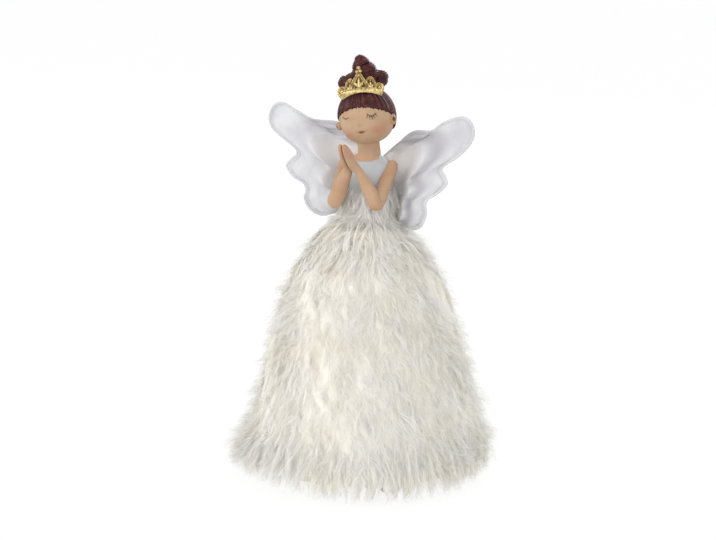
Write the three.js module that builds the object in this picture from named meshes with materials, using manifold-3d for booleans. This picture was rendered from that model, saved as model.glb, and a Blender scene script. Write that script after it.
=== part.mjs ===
// A light-up angel figurine: a cast bust with satin wings on a fur-covered cone that holds cells and a lamp.
// Millimetres, +Z up. The origin is on the surface it stands on, under the skirt's axis. The angel faces -Y.
import * as THREE from 'three';
import { mergeVertices } from 'three/addons/utils/BufferGeometryUtils.js';
import Module from 'manifold-3d';

const wasm = await Module();
wasm.setup();

// Fits
const joint_gap = 0.3;
const cut_overrun = 2;

// Feet and base
const foot_diameter = 14;
const foot_height = 8;
const foot_inset = 18;
const foot_count = 4;
const base_diameter = 124;
const base_thickness = 3;
const base_rim_height = 8;
const base_rim_wall = 2;

// Skirt cone, its cap and the post
const cone_height = 155;
const cone_top_diameter = 45;
const cone_wall = 1;
const cap_flange_thickness = 1.5;
const cap_plug_depth = 12;
const cap_plug_wall = 3;
const cap_floor_thickness = 4;
const post_diameter = 9;
const post_length = 62;
const post_depth_in_torso = 30;

// Fur skirt
const fur_hem_height = 12;
const fur_pile_depth = 19;
const fur_top_rise = 8;
const fur_tier_depth = 4.5;
const fur_lock_depth = 2;
const fur_lock_drop = 4;
const fur_tier_count = 9;
const fur_belt_clearance = 1.2;

// Torso and belt
const torso_height = 47;
const chest_width = 31;
const chest_depth = 25;
const torso_setback = 4;
const belt_band_height = 4;
const belt_band_thickness = 2;
const bodice_fur_height = 17;
const bodice_fur_thickness = 4.5;
const bodice_fur_rise = 8.5;

// Head and hair
const head_width = 35.8;
const head_depth = 35.8;
const head_height = 36;
const chin_clearance = 7.2;
const head_setback = 1;
const head_roll_degrees = -10.8;
const head_turn_degrees = 6.8;
const head_nod_degrees = 4;
const neck_diameter = 14;
const neck_socket_depth = 6;
const ear_width = 3.6;
const ear_height = 8;
const nose_width = 4.4;
const hair_thickness = 1.4;
const hair_fringe_drop = 2.5;
const hair_fringe_tilt_degrees = 30;
const hair_nape_drop = 11;
const hair_side_setback = 2;
const bun_lobe_diameter = 11.4;
const bun_peak_diameter = 16;
const bun_spread = 12;
const bun_height = 19;
const bun_setback = 7;
const bun_rise = 4.5;

// Crown
const crown_wall = 1;
const crown_band_height = 3.5;
const crown_peak_height = 14;
const crown_rise = 10.4;
const crown_droop = 3.4;
const crown_flare = 2.8;
const crown_tip_lean = 1;
const crown_tilt_degrees = 27;
const crown_turn_degrees = 9;
const crown_finial_diameter = 2.6;
const crown_peak_count = 5;
const crown_arc_degrees = 84;

// Arms
const shoulder_width = 34;
const shoulder_drop = 7.5;
const shoulder_setback = 3;
const elbow_width = 30;
const elbow_forward = 17;
const elbow_drop = 28.5;
const wrist_forward = 22;
const wrist_drop = 7;
const wrist_width = 7.4;
const fingertip_forward = 38.5;
const fingertip_rise = 11.2;
const upper_arm_diameter = 8.4;
const elbow_diameter = 9.4;
const forearm_diameter = 9.4;
const wrist_diameter = 5.4;
const palm_thickness = 4;
const palm_breadth = 8.4;

// Wings and the patch that holds them
const wing_reach = 73;
const wing_root_width = 5;
const wing_height = 72.4;
const wing_above_waist = 4.5;
const wing_padding = 3.6;
const wing_hem_thickness = 1.2;
const wing_wire_diameter = 2;
const wing_sweep = 11;
const wing_lower_sweep = 36;
const wing_fold = 7;
const wing_clearance = 0.4;
const patch_width = 20;
const patch_height = 34;
const patch_thickness = 1.2;

// Battery box and its cover
const cell_diameter = 14.5;
const cell_length = 50.5;
const cell_nub_diameter = 5.5;
const cell_nub_length = 1;
const cell_clearance = 0.8;
const box_wall = 1.6;
const box_pocket_length = 4.5;
const box_switch_bay_length = 25;
const door_tongue_length = 2.8;
const door_tongue_width = 6;
const door_tongue_thickness = 1.1;
const door_tongue_spacing = 18;
const door_ear_length = 9;
const door_ear_width = 10;
const door_swing_room = 1.6;
const door_hinge_gap = 0.6;
const screw_diameter = 2.4;
const screw_length = 6.5;
const screw_head_diameter = 4.6;
const screw_head_height = 1;
const screw_slot_width = 0.7;
const screw_slot_depth = 0.5;
const screw_clearance = 0.45;
const boss_height = 8;
const contact_thickness = 0.5;
const contact_height = 10;
const contact_width = 10;
const contact_tab_width = 3;
const contact_tab_rise = 3;
const spring_length = 5;
const spring_wide_diameter = 9;
const spring_narrow_diameter = 5;
const spring_wire_diameter = 0.8;
const spring_turns = 4;

// Switch
const switch_length = 13;
const switch_width = 7;
const switch_height = 6;
const knob_length = 3.5;
const knob_width = 3;
const knob_reach = 2.2;
const knob_depth_in_body = 3;
const switch_travel = 3.5;
const switch_inset = 7;

// Lamp and leads
const board_diameter = 26;
const board_thickness = 1.6;
const led_diameter = 5;
const led_height = 8.6;
const led_collar_diameter = 5.8;
const led_collar_height = 1;
const led_circle_diameter = 17;
const led_count = 4;
const resistor_diameter = 2.4;
const resistor_length = 7;
const lead_diameter = 1.3;
const lead_rise = 5;

// Facets: how finely each kind of round shape is divided
const cone_facets = 48;
const round_facets = 20;
const small_facets = 10;
const wire_sides = 6;
const wing_steps = 44;
const wing_rows = 7;
const crown_peak_steps = 8;
const spring_turn_steps = 7;

const full_turn = 2 * Math.PI;

// Heights that several pieces share
const base_bottom = foot_height;
const base_top = base_bottom + base_thickness;
const cone_top = base_bottom + cone_height;
const cap_top = cone_top + joint_gap + cap_flange_thickness;
const waist_height = cap_top + joint_gap;
const shoulder_line = waist_height + torso_height;
const head_center_height = shoulder_line + chin_clearance + head_height / 2;
const cone_bottom_slope_radius = base_diameter / 2 + joint_gap;
const cone_top_slope_radius = cone_top_diameter / 2 - cone_wall;
const cone_slope = (cone_bottom_slope_radius - cone_top_slope_radius) / (cone_top - base_bottom);

function coneInnerRadius(z) {
  return cone_bottom_slope_radius - cone_slope * (z - base_bottom);
}

function coneOuterRadius(z) {
  return coneInnerRadius(z) + cone_wall;
}

// A table's row at a place between its own rows; each row starts with its place, from 0 to 1.
function rowAt(table, place) {
  const share = THREE.MathUtils.clamp(place, 0, 1);
  let i = 1;
  while (i < table.length - 1 && table[i][0] < share) {
    i += 1;
  }
  const between = (share - table[i - 1][0]) / (table[i][0] - table[i - 1][0]);
  const before = table[i - 1].slice(1);
  return table[i].slice(1).map((value, column) => THREE.MathUtils.lerp(before[column], value, between));
}

// Closed surfaces

function signedVolume(positions, triangles) {
  let volume = 0;
  const a = new THREE.Vector3();
  const b = new THREE.Vector3();
  const c = new THREE.Vector3();
  for (let i = 0; i < triangles.length; i += 3) {
    a.copy(positions[triangles[i]]);
    b.copy(positions[triangles[i + 1]]);
    c.copy(positions[triangles[i + 2]]);
    volume += a.dot(b.cross(c));
  }
  return volume;
}

function closedGeometry(positions, triangles) {
  const flipped = signedVolume(positions, triangles) < 0;
  const index = [];
  for (let i = 0; i < triangles.length; i += 3) {
    index.push(triangles[i]);
    index.push(triangles[flipped ? i + 2 : i + 1]);
    index.push(triangles[flipped ? i + 1 : i + 2]);
  }
  const geometry = new THREE.BufferGeometry();
  const numbers = positions.flatMap((point) => point.toArray());
  geometry.setAttribute('position', new THREE.Float32BufferAttribute(numbers, 3));
  geometry.setIndex(index);
  return geometry;
}

function stitchRings(triangles, lower, upper, count) {
  for (let i = 0; i < count; i += 1) {
    const j = (i + 1) % count;
    triangles.push(lower + i, lower + j, upper + j);
    triangles.push(lower + i, upper + j, upper + i);
  }
}

// A skin through rings of points, closed at both ends by a fan, or run round to its own start.
function skin(rings, round = false) {
  const count = rings[0].length;
  const positions = rings.flat();
  const triangles = [];
  for (let r = 0; r + 1 < rings.length; r += 1) {
    stitchRings(triangles, r * count, (r + 1) * count, count);
  }
  if (round) {
    stitchRings(triangles, (rings.length - 1) * count, 0, count);
    return closedGeometry(positions, triangles);
  }
  for (const [start, reversed] of [[0, true], [(rings.length - 1) * count, false]]) {
    const middle = new THREE.Vector3();
    for (let i = 0; i < count; i += 1) {
      middle.addScaledVector(positions[start + i], 1 / count);
    }
    const hub = positions.push(middle) - 1;
    for (let i = 0; i < count; i += 1) {
      const j = (i + 1) % count;
      triangles.push(hub, start + (reversed ? j : i), start + (reversed ? i : j));
    }
  }
  return closedGeometry(positions, triangles);
}

// A level oval ring round (x, y) at height z.
function ovalRing(x, y, z, half_width, half_depth, facets) {
  const ring = [];
  for (let i = 0; i < facets; i += 1) {
    const turn = (i / facets) * full_turn;
    ring.push(new THREE.Vector3(x + half_width * Math.cos(turn), y + half_depth * Math.sin(turn), z));
  }
  return ring;
}

// A ring square to a direction; its first axis lies along side.
function slantedRing(center, direction, side, half_side, half_other, facets) {
  const other = new THREE.Vector3().crossVectors(direction, side).normalize();
  const first = new THREE.Vector3().crossVectors(other, direction).normalize();
  const ring = [];
  for (let i = 0; i < facets; i += 1) {
    const turn = (i / facets) * full_turn;
    const point = center.clone();
    point.addScaledVector(first, half_side * Math.cos(turn));
    point.addScaledVector(other, half_other * Math.sin(turn));
    ring.push(point);
  }
  return ring;
}

// A wire of one thickness through a list of points.
function wire(points, diameter) {
  const side = new THREE.Vector3(0, 0, 1);
  const rings = [];
  const last = points.length - 1;
  for (let i = 0; i <= last; i += 1) {
    const before = points[Math.max(i - 1, 0)];
    const after = points[Math.min(i + 1, last)];
    const direction = after.clone().sub(before).normalize();
    side.addScaledVector(direction, -side.dot(direction)).normalize();
    rings.push(slantedRing(points[i], direction, side, diameter / 2, diameter / 2, wire_sides));
  }
  return skin(rings);
}

// A surface of revolution from [radius, height] points that start and end on the axis or close on themselves.
function turned(profile, facets) {
  const geometry = new THREE.LatheGeometry(profile.map(([r, z]) => new THREE.Vector2(r, z)), facets);
  geometry.rotateX(Math.PI / 2);
  return outward(geometry);
}

function outward(geometry) {
  geometry.deleteAttribute('normal');
  geometry.deleteAttribute('uv');
  const merged = mergeVertices(geometry);
  const place = merged.getAttribute('position');
  const positions = [];
  for (let i = 0; i < place.count; i += 1) {
    positions.push(new THREE.Vector3().fromBufferAttribute(place, i));
  }
  const index = Array.from(merged.index.array);
  const triangles = [];
  for (let i = 0; i < index.length; i += 3) {
    const corners = index.slice(i, i + 3);
    if (new Set(corners).size === corners.length) {
      triangles.push(...corners);
    }
  }
  return closedGeometry(positions, triangles);
}

function block(x0, x1, y0, y1, z0, z1) {
  const geometry = new THREE.BoxGeometry(x1 - x0, y1 - y0, z1 - z0);
  geometry.translate((x0 + x1) / 2, (y0 + y1) / 2, (z0 + z1) / 2);
  return outward(geometry);
}

function rod(diameter, x, y, z0, z1, facets = round_facets) {
  const geometry = turned([[0, z0], [diameter / 2, z0], [diameter / 2, z1], [0, z1]], facets);
  geometry.translate(x, y, 0);
  return geometry;
}

function ball(half_x, half_y, half_z, x, y, z, across = round_facets, down = small_facets) {
  const geometry = new THREE.SphereGeometry(1, across, down);
  geometry.rotateX(Math.PI / 2);
  geometry.scale(half_x, half_y, half_z);
  geometry.translate(x, y, z);
  return outward(geometry);
}

// Joins and cuts

function solid(geometry) {
  const vertProperties = new Float32Array(geometry.getAttribute('position').array);
  const triVerts = new Uint32Array(geometry.index.array);
  return new wasm.Manifold(new wasm.Mesh({ numProp: 3, vertProperties, triVerts }));
}

function surface(manifold) {
  const mesh = manifold.getMesh();
  const geometry = new THREE.BufferGeometry();
  geometry.setAttribute('position', new THREE.Float32BufferAttribute(mesh.vertProperties, 3));
  geometry.setIndex(Array.from(mesh.triVerts));
  return geometry;
}

function joined(...geometries) {
  return surface(geometries.map(solid).reduce((whole, piece) => whole.add(piece)));
}

function cut(geometry, ...cutters) {
  return surface(cutters.map(solid).reduce((whole, piece) => whole.subtract(piece), solid(geometry)));
}

function kept(geometry, ...limits) {
  return surface(limits.map(solid).reduce((whole, piece) => whole.intersect(piece), solid(geometry)));
}

// Materials and the group

const finishes = {
  fur: [0xe6e3da, 1, 0],
  satin: [0xe4e4e8, 0.55, 0],
  skin: [0xd9ab85, 0.45, 0],
  bodice: [0xdfe3e6, 0.5, 0],
  hair: [0x52292b, 0.5, 0],
  gold: [0xc9a24f, 0.3, 1],
  silver: [0xd6d8dc, 0.3, 0.8],
  felt: [0xeeeeec, 1, 0],
  carcass: [0xece9e0, 0.6, 0],
  plastic: [0xf0efeb, 0.5, 0],
  wood: [0xc9a878, 0.8, 0],
  steel: [0xb8babd, 0.35, 1],
  nickel: [0xcbccc8, 0.3, 1],
  cell: [0x43484e, 0.4, 0.3],
  knob: [0x2a2b2e, 0.5, 0],
  board: [0x2d6b45, 0.6, 0],
  lens: [0xfff3d0, 0.2, 0],
  resistor: [0xc9b48c, 0.6, 0],
  red_lead: [0xa32622, 0.5, 0],
  black_lead: [0x222224, 0.5, 0],
};

function mesh(name, finish, geometry) {
  const [color, roughness, metalness] = finishes[finish];
  const piece = new THREE.Mesh(geometry, new THREE.MeshStandardMaterial({ color, roughness, metalness }));
  piece.name = name;
  return piece;
}

// Base, feet and the battery box

const bay_width = 2 * cell_diameter + 3 * cell_clearance;
const contact_room = contact_thickness + 2 * joint_gap;
const bay_length = cell_length + spring_length + joint_gap + 2 * contact_room;
const bay_end = bay_length / 2;
const box_bottom = base_top;
const door_top = box_bottom + box_wall;
const cell_center_height = door_top + cell_clearance + cell_diameter / 2;
const roof_bottom = cell_center_height + cell_diameter / 2 + cell_clearance;
const box_top = roof_bottom + box_wall;
const pocket_end = -bay_end - box_wall - box_pocket_length;
const box_start = pocket_end - box_wall;
const switch_bay_start = bay_end + box_wall;
const switch_bay_end = switch_bay_start + box_switch_bay_length;
const box_end = switch_bay_end + box_wall;
const box_half_width = bay_width / 2 + box_wall;
const door_start = -bay_end;
const door_end = switch_bay_start + door_ear_length;
const door_half_width = bay_width / 2 - joint_gap;
const screw_place = door_end - door_ear_length / 2;
const switch_place = switch_bay_end - switch_inset;
const knob_place = -switch_travel / 2;
const unit_place = -(box_start + box_end) / 2;
const tongue_bottom = door_top - door_tongue_thickness / 2;
const tongue_top = door_top + door_tongue_thickness / 2;
const tongue_end = -bay_end - box_wall - door_tongue_length;
const switch_bottom = door_top + joint_gap;

function tonguePairs(grow, start, end, low, high) {
  const half = door_tongue_width / 2 + grow;
  return [-1, 1].map((side) => {
    const y = (side * door_tongue_spacing) / 2;
    return block(start, end, y - half, y + half, low, high);
  });
}

function basePlate() {
  const rim_top = base_top + base_rim_height;
  const edge = (z) => coneInnerRadius(z) - joint_gap;
  const plate = turned([
    [0, base_bottom],
    [edge(base_bottom), base_bottom],
    [edge(rim_top), rim_top],
    [edge(rim_top) - base_rim_wall, rim_top],
    [edge(base_top) - base_rim_wall, base_top],
    [0, base_top],
  ], cone_facets);
  const below = base_bottom - cut_overrun;
  const above = base_top + cut_overrun;
  const half_bay = bay_width / 2 + door_swing_room;
  const half_ear = Math.max(door_ear_width, switch_length) / 2 + door_swing_room;
  const bay_window = block(door_start - door_swing_room, switch_bay_start, -half_bay, half_bay, below, above);
  const ear_window = block(0, switch_bay_end, -half_ear, half_ear, below, above);
  bay_window.translate(unit_place, 0, 0);
  ear_window.translate(unit_place, 0, 0);
  return cut(plate, bay_window, ear_window);
}

function feet() {
  const group = new THREE.Group();
  const radius = base_diameter / 2 - foot_inset;
  for (let i = 0; i < foot_count; i += 1) {
    const turn = ((i + 1 / 2) / foot_count) * full_turn;
    const foot = mesh(`foot_${i + 1}`, 'plastic', rod(foot_diameter, 0, 0, 0, foot_height));
    foot.position.set(radius * Math.cos(turn), radius * Math.sin(turn), 0);
    group.add(foot);
  }
  return group;
}

function batteryBox() {
  const below = box_bottom - cut_overrun;
  const body = block(box_start, box_end, -box_half_width, box_half_width, box_bottom, box_top);
  const bay = block(-bay_end, bay_end, -bay_width / 2, bay_width / 2, below, roof_bottom);
  const half_bay = bay_width / 2;
  const pocket = block(pocket_end, -bay_end - box_wall, -half_bay, half_bay, door_top - joint_gap, roof_bottom);
  const above = box_top + cut_overrun;
  const vent_bottom = roof_bottom - cut_overrun;
  const pocket_vent = block(pocket_end, -bay_end - box_wall, -half_bay, half_bay, vent_bottom, above);
  const switch_bay = block(switch_bay_start, switch_bay_end, -half_bay, half_bay, door_top, above);
  const half_ear = door_ear_width / 2 + joint_gap;
  const ear_window = block(0, door_end + joint_gap, -half_ear, half_ear, below, door_top + joint_gap);
  const knob_window = block(
    switch_place - knob_width / 2 - joint_gap,
    switch_place + knob_width / 2 + joint_gap,
    -switch_travel / 2 - knob_length / 2 - joint_gap,
    switch_travel / 2 + knob_length / 2 + joint_gap,
    below,
    door_top + cut_overrun,
  );
  const tongue_slots = tonguePairs(joint_gap, tongue_end - joint_gap, 0, tongue_bottom - joint_gap,
    tongue_top + door_tongue_length);
  const tab_slots = [];
  for (const y of [-cellOffset(), cellOffset()]) {
    tab_slots.push(block(bay_end - contact_room, bay_end, y - contact_tab_width / 2 - joint_gap,
      y + contact_tab_width / 2 + joint_gap, vent_bottom, above));
  }
  const windows = [ear_window, knob_window, ...tongue_slots, ...tab_slots];
  const shell = cut(body, bay, pocket, pocket_vent, switch_bay, ...windows);
  const boss_bottom = door_top + joint_gap;
  const boss_half = door_ear_width / 2;
  const boss_top = boss_bottom + boss_height;
  const boss = block(bay_end + joint_gap, door_end, -boss_half, boss_half, boss_bottom, boss_top);
  const bore_top = box_bottom + screw_length + screw_clearance;
  const bore = rod(screw_diameter + 2 * screw_clearance, screw_place, 0, below, bore_top, small_facets);
  return cut(joined(shell, boss), bore);
}

function cellOffset() {
  return (cell_diameter + cell_clearance) / 2;
}

function batteryDoor() {
  const plate = block(door_start + door_hinge_gap, bay_end - joint_gap, -door_half_width, door_half_width,
    box_bottom, door_top);
  const ear = block(0, door_end, -door_ear_width / 2, door_ear_width / 2, box_bottom, door_top);
  const tongues = tonguePairs(0, tongue_end, door_start + door_hinge_gap + door_tongue_length, tongue_bottom,
    tongue_top);
  const head_recess = rod(screw_head_diameter + 2 * screw_clearance, screw_place, 0, box_bottom - cut_overrun,
    box_bottom + screw_head_height, round_facets);
  const hole = rod(screw_diameter + 2 * joint_gap, screw_place, 0, box_bottom - cut_overrun,
    door_top + cut_overrun, small_facets);
  return cut(joined(plate, ear, ...tongues), head_recess, hole);
}

function doorScrew() {
  const head_top = box_bottom + screw_head_height - joint_gap;
  const screw = turned([
    [0, head_top - screw_head_height],
    [screw_head_diameter / 2, head_top - screw_head_height],
    [screw_head_diameter / 2, head_top],
    [screw_diameter / 2, head_top],
    [screw_diameter / 2, box_bottom + screw_length - screw_diameter / 2],
    [0, box_bottom + screw_length],
  ], small_facets);
  const slot_top = head_top - screw_head_height + screw_slot_depth;
  const slot_bottom = head_top - screw_head_height - cut_overrun;
  const slots = [
    block(-screw_head_diameter / 3, screw_head_diameter / 3, -screw_slot_width / 2, screw_slot_width / 2,
      slot_bottom, slot_top),
    block(-screw_slot_width / 2, screw_slot_width / 2, -screw_head_diameter / 3, screw_head_diameter / 3,
      slot_bottom, slot_top),
  ];
  return cut(screw, ...slots);
}

// A cell lies along X; its nub points along +X.
function cell() {
  const barrel = cell_length - cell_nub_length;
  const geometry = turned([
    [0, 0],
    [cell_diameter / 2, 0],
    [cell_diameter / 2, barrel],
    [cell_nub_diameter / 2, barrel],
    [cell_nub_diameter / 2, cell_length],
    [0, cell_length],
  ], round_facets);
  geometry.rotateY(Math.PI / 2);
  geometry.translate(-cell_length / 2, 0, 0);
  return geometry;
}

function spring() {
  const points = [];
  const steps = spring_turns * spring_turn_steps;
  const length = spring_length - spring_wire_diameter;
  for (let i = 0; i <= steps; i += 1) {
    const share = i / steps;
    const turn = share * spring_turns * full_turn;
    const radius = THREE.MathUtils.lerp(spring_wide_diameter, spring_narrow_diameter, share) / 2;
    points.push(new THREE.Vector3(share * length, radius * Math.cos(turn), radius * Math.sin(turn)));
  }
  return wire(points, spring_wire_diameter);
}

function powerPieces() {
  const group = new THREE.Group();
  const offset = cellOffset();
  const spring_side = spring_length + joint_gap;
  const plate_inner = bay_end - joint_gap - contact_thickness;
  const cell_shift = spring_side / 2;
  const places = [[1, offset, 1], [2, -offset, -1]];
  for (const [number, y, way] of places) {
    const battery = mesh(`cell_${number}`, 'cell', cell());
    battery.position.set(way * cell_shift, y, cell_center_height);
    battery.rotation.z = way > 0 ? 0 : Math.PI;
    group.add(battery);
    const coil = mesh(`spring_${number}`, 'steel', spring());
    coil.position.set(way * (-plate_inner + joint_gap + spring_wire_diameter / 2), y, cell_center_height);
    coil.rotation.z = way > 0 ? 0 : Math.PI;
    group.add(coil);
  }
  const z0 = cell_center_height - contact_height / 2;
  const z1 = cell_center_height + contact_height / 2;
  const reach = offset + contact_width / 2;
  const bridge = block(-bay_end + joint_gap, -plate_inner, -reach, reach, z0, z1);
  group.add(mesh('contact_bridge', 'nickel', bridge));
  for (const [name, y] of [['contact_positive', offset], ['contact_negative', -offset]]) {
    const plate_outer = bay_end - joint_gap;
    const half_tab = contact_tab_width / 2;
    const plate = block(plate_inner, plate_outer, y - contact_width / 2, y + contact_width / 2, z0, z1);
    const tab = block(plate_inner, plate_outer, y - half_tab, y + half_tab, cell_center_height,
      box_top + contact_tab_rise);
    group.add(mesh(name, 'nickel', joined(plate, tab)));
  }
  return group;
}

function switchPieces() {
  const group = new THREE.Group();
  const half_width = switch_width / 2;
  const half_length = switch_length / 2;
  const body = block(-half_width, half_width, -half_length, half_length, 0, switch_height);
  const half_run = (switch_travel + knob_length) / 2 + joint_gap;
  const half_slot = knob_width / 2 + joint_gap;
  const slot_top = knob_depth_in_body + joint_gap;
  const slot = block(-half_slot, half_slot, -half_run, half_run, -cut_overrun, slot_top);
  const housing = mesh('switch_body', 'knob', cut(body, slot));
  housing.position.set(switch_place, 0, switch_bottom);
  group.add(housing);
  const knob_bottom = box_bottom - knob_reach;
  const knob = block(-knob_width / 2, knob_width / 2, -knob_length / 2, knob_length / 2,
    0, switch_bottom + knob_depth_in_body - knob_bottom);
  const slider = mesh('switch_knob', 'plastic', knob);
  slider.position.set(switch_place, knob_place, knob_bottom);
  group.add(slider);
  return group;
}

const board_bottom = box_top + joint_gap;
const board_top = board_bottom + board_thickness;
const board_place = -unit_place;

// Out from the resistor's axis and along it, as shares of its diameter and length.
const resistor_shares = [
  [0, -0.5],
  [0.5, -0.5],
  [0.5, -0.33],
  [0.4, -0.25],
  [0.4, 0.25],
  [0.5, 0.33],
  [0.5, 0.5],
  [0, 0.5],
];

function lampPieces() {
  const group = new THREE.Group();
  group.position.x = board_place;
  group.add(mesh('led_board', 'board', rod(board_diameter, 0, 0, board_bottom, board_top)));
  const dome = led_diameter / 2;
  const profile = [
    [0, 0],
    [led_collar_diameter / 2, 0],
    [led_collar_diameter / 2, led_collar_height],
    [dome, led_collar_height],
  ];
  const steps = small_facets / 2;
  for (let i = 0; i <= steps; i += 1) {
    const turn = ((i / steps) * Math.PI) / 2;
    profile.push([i === steps ? 0 : dome * Math.cos(turn), led_height - dome + dome * Math.sin(turn)]);
  }
  for (let i = 0; i < led_count; i += 1) {
    const turn = (i / led_count) * full_turn + full_turn / (2 * led_count);
    const led = mesh(`led_${i + 1}`, 'lens', turned(profile, small_facets));
    const radius = led_circle_diameter / 2;
    led.position.set(radius * Math.cos(turn), radius * Math.sin(turn), board_top + joint_gap);
    group.add(led);
  }
  const coat = resistor_shares.map(([out, along]) => [resistor_diameter * out, resistor_length * along]);
  const body = turned(coat, small_facets);
  body.rotateY(Math.PI / 2);
  const resistor = mesh('resistor', 'resistor', body);
  resistor.position.set(0, 0, board_top + joint_gap + resistor_diameter / 2);
  group.add(resistor);
  return group;
}

// A lead: an arch from one point to another, rising above the higher one.
function lead(from, to) {
  const crest = Math.max(from.z, to.z) + lead_rise;
  const curve = new THREE.CubicBezierCurve3(
    from,
    new THREE.Vector3(from.x, from.y, crest),
    new THREE.Vector3(to.x, to.y, crest),
    to,
  );
  return wire(curve.getSpacedPoints(small_facets), lead_diameter);
}

function leads() {
  const group = new THREE.Group();
  const tab_top = box_top + contact_tab_rise + lead_diameter / 2;
  const board_end = board_top + lead_diameter / 2;
  const tab_x = bay_end - joint_gap - contact_thickness / 2;
  const offset = cellOffset();
  const board_edge = board_place + board_diameter / 2 - lead_diameter;
  const switch_top = switch_bottom + switch_height + lead_diameter / 2;
  const spots = [
    ['lead_positive', 'red_lead', [tab_x, offset, tab_top], [board_edge, lead_diameter, board_end]],
    ['lead_negative', 'black_lead', [tab_x, -offset, tab_top],
      [switch_place, -switch_length / 4, switch_top]],
    ['lead_switched', 'black_lead', [switch_place, switch_length / 4, switch_top],
      [board_edge, -lead_diameter, board_end]],
  ];
  for (const [name, finish, from, to] of spots) {
    group.add(mesh(name, finish, lead(new THREE.Vector3(...from), new THREE.Vector3(...to))));
  }
  return group;
}

function batteryUnit() {
  const group = new THREE.Group();
  group.position.x = unit_place;
  group.add(mesh('battery_box', 'plastic', batteryBox()));
  group.add(mesh('battery_door', 'plastic', batteryDoor()));
  const screw = mesh('door_screw', 'steel', doorScrew());
  screw.position.x = screw_place;
  group.add(screw);
  group.add(powerPieces());
  group.add(switchPieces());
  group.add(lampPieces());
  group.add(leads());
  return group;
}

// The cone, its cap and the post

function skirtCone() {
  return turned([
    [coneInnerRadius(base_bottom), base_bottom],
    [coneOuterRadius(base_bottom), base_bottom],
    [coneOuterRadius(cone_top), cone_top],
    [coneInnerRadius(cone_top), cone_top],
    [coneInnerRadius(base_bottom), base_bottom],
  ], cone_facets);
}

function coneCap() {
  const hole = post_diameter / 2 + joint_gap;
  const plug_bottom = cone_top - cap_plug_depth;
  const flange_bottom = cone_top + joint_gap;
  const plug_radius = coneInnerRadius(cone_top) - joint_gap;
  return turned([
    [hole, flange_bottom - cap_floor_thickness],
    [plug_radius - cap_plug_wall, flange_bottom - cap_floor_thickness],
    [plug_radius - cap_plug_wall, plug_bottom],
    [plug_radius, plug_bottom],
    [plug_radius, flange_bottom],
    [coneOuterRadius(cone_top), flange_bottom],
    [coneOuterRadius(cone_top), cap_top],
    [hole, cap_top],
    [hole, flange_bottom - cap_floor_thickness],
  ], round_facets);
}

function bustPost() {
  const top = waist_height + post_depth_in_torso;
  return rod(post_diameter, 0, 0, top - post_length, top);
}

// The fur skirt: a bell of hanging tiers whose lower edges are broken into locks.

// Up from the hem and out from the axis, as shares of the fur's height and of its hem's radius.
const fur_shares = [
  [0, 1],
  [0.15, 0.99],
  [0.27, 0.94],
  [0.39, 0.865],
  [0.48, 0.82],
  [0.63, 0.75],
  [0.75, 0.66],
  [0.84, 0.55],
  [0.92, 0.44],
  [1, 0.34],
];

function furRadius(share) {
  return (base_diameter / 2 + fur_pile_depth) * rowAt(fur_shares, share)[0];
}

function lockWave(turn, tier) {
  const broad_waves = 11;
  const fine_waves = 29;
  const broad_phase = 2.4;
  const fine_phase = 1.7;
  const broad = Math.sin(broad_waves * turn + broad_phase * tier);
  const fine = Math.sin(fine_waves * turn + fine_phase * tier * tier);
  return (broad + fine) / 2;
}

function furRing(radius, z, tier, depth, drop) {
  const ring = [];
  for (let i = 0; i < cone_facets; i += 1) {
    const turn = (i / cone_facets) * full_turn;
    const wave = lockWave(turn, tier);
    const r = radius + depth * wave;
    ring.push(new THREE.Vector3(r * Math.cos(turn), r * Math.sin(turn), z - drop * (1 + wave) / 2));
  }
  return ring;
}

function skirtFur() {
  const top = cone_top + fur_top_rise;
  const inner = (z) => coneOuterRadius(z) + joint_gap;
  const span = top - fur_hem_height;
  const belt_clear = (chest_width + belt_band_thickness * 2) / 2 + fur_belt_clearance;
  const rings = [
    furRing(belt_clear, cap_top + joint_gap, 0, 0, 0),
    furRing(belt_clear, top - fur_tier_depth, 0, 0, 0),
    furRing((belt_clear + furRadius(1)) / 2, top, 0, 0, 0),
  ];
  for (let tier = 1; tier <= fur_tier_count; tier += 1) {
    const high = 1 - (tier - 1) / fur_tier_count;
    const low = 1 - tier / fur_tier_count;
    const last = tier === fur_tier_count;
    const z_high = fur_hem_height + span * high - fur_tier_depth;
    const z_low = fur_hem_height + span * low + (last ? 0 : fur_lock_drop);
    const z_middle = (z_high + z_low) / 2;
    const middle = (high + low) / 2;
    rings.push(furRing(furRadius(middle) - fur_tier_depth / 4, z_middle, tier, fur_lock_depth / 2, 0));
    rings.push(furRing(furRadius(low) + (last ? 0 : fur_tier_depth / 2), z_low, tier, fur_lock_depth,
      last ? 0 : fur_lock_drop));
    if (!last) {
      rings.push(furRing(furRadius(low) - fur_tier_depth / 2, z_low - fur_tier_depth / 2, tier + 1, 0, 0));
    }
  }
  rings.push(furRing(inner(base_bottom), fur_hem_height, 0, 0, 0));
  rings.push(furRing(inner(base_bottom), base_bottom, 0, 0, 0));
  rings.push(furRing(inner(cone_top), cap_top + joint_gap, 0, 0, 0));
  return skin(rings, true);
}

// The bust

const torso_shares = [
  [0, 0.86, 0.86],
  [0.14, 0.84, 0.84],
  [0.32, 0.93, 0.92],
  [0.55, 1, 1],
  [0.74, 0.97, 0.92],
  [0.88, 0.82, 0.74],
  [0.96, 0.6, 0.6],
  [1, 0.5, 0.54],
];

function torsoRings(grow, facets) {
  return torso_shares.map(([height_share, width_share, depth_share]) => ovalRing(
    0,
    torso_setback,
    waist_height + torso_height * height_share,
    (chest_width / 2) * width_share + grow,
    (chest_depth / 2) * depth_share + grow,
    facets,
  ));
}

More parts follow.
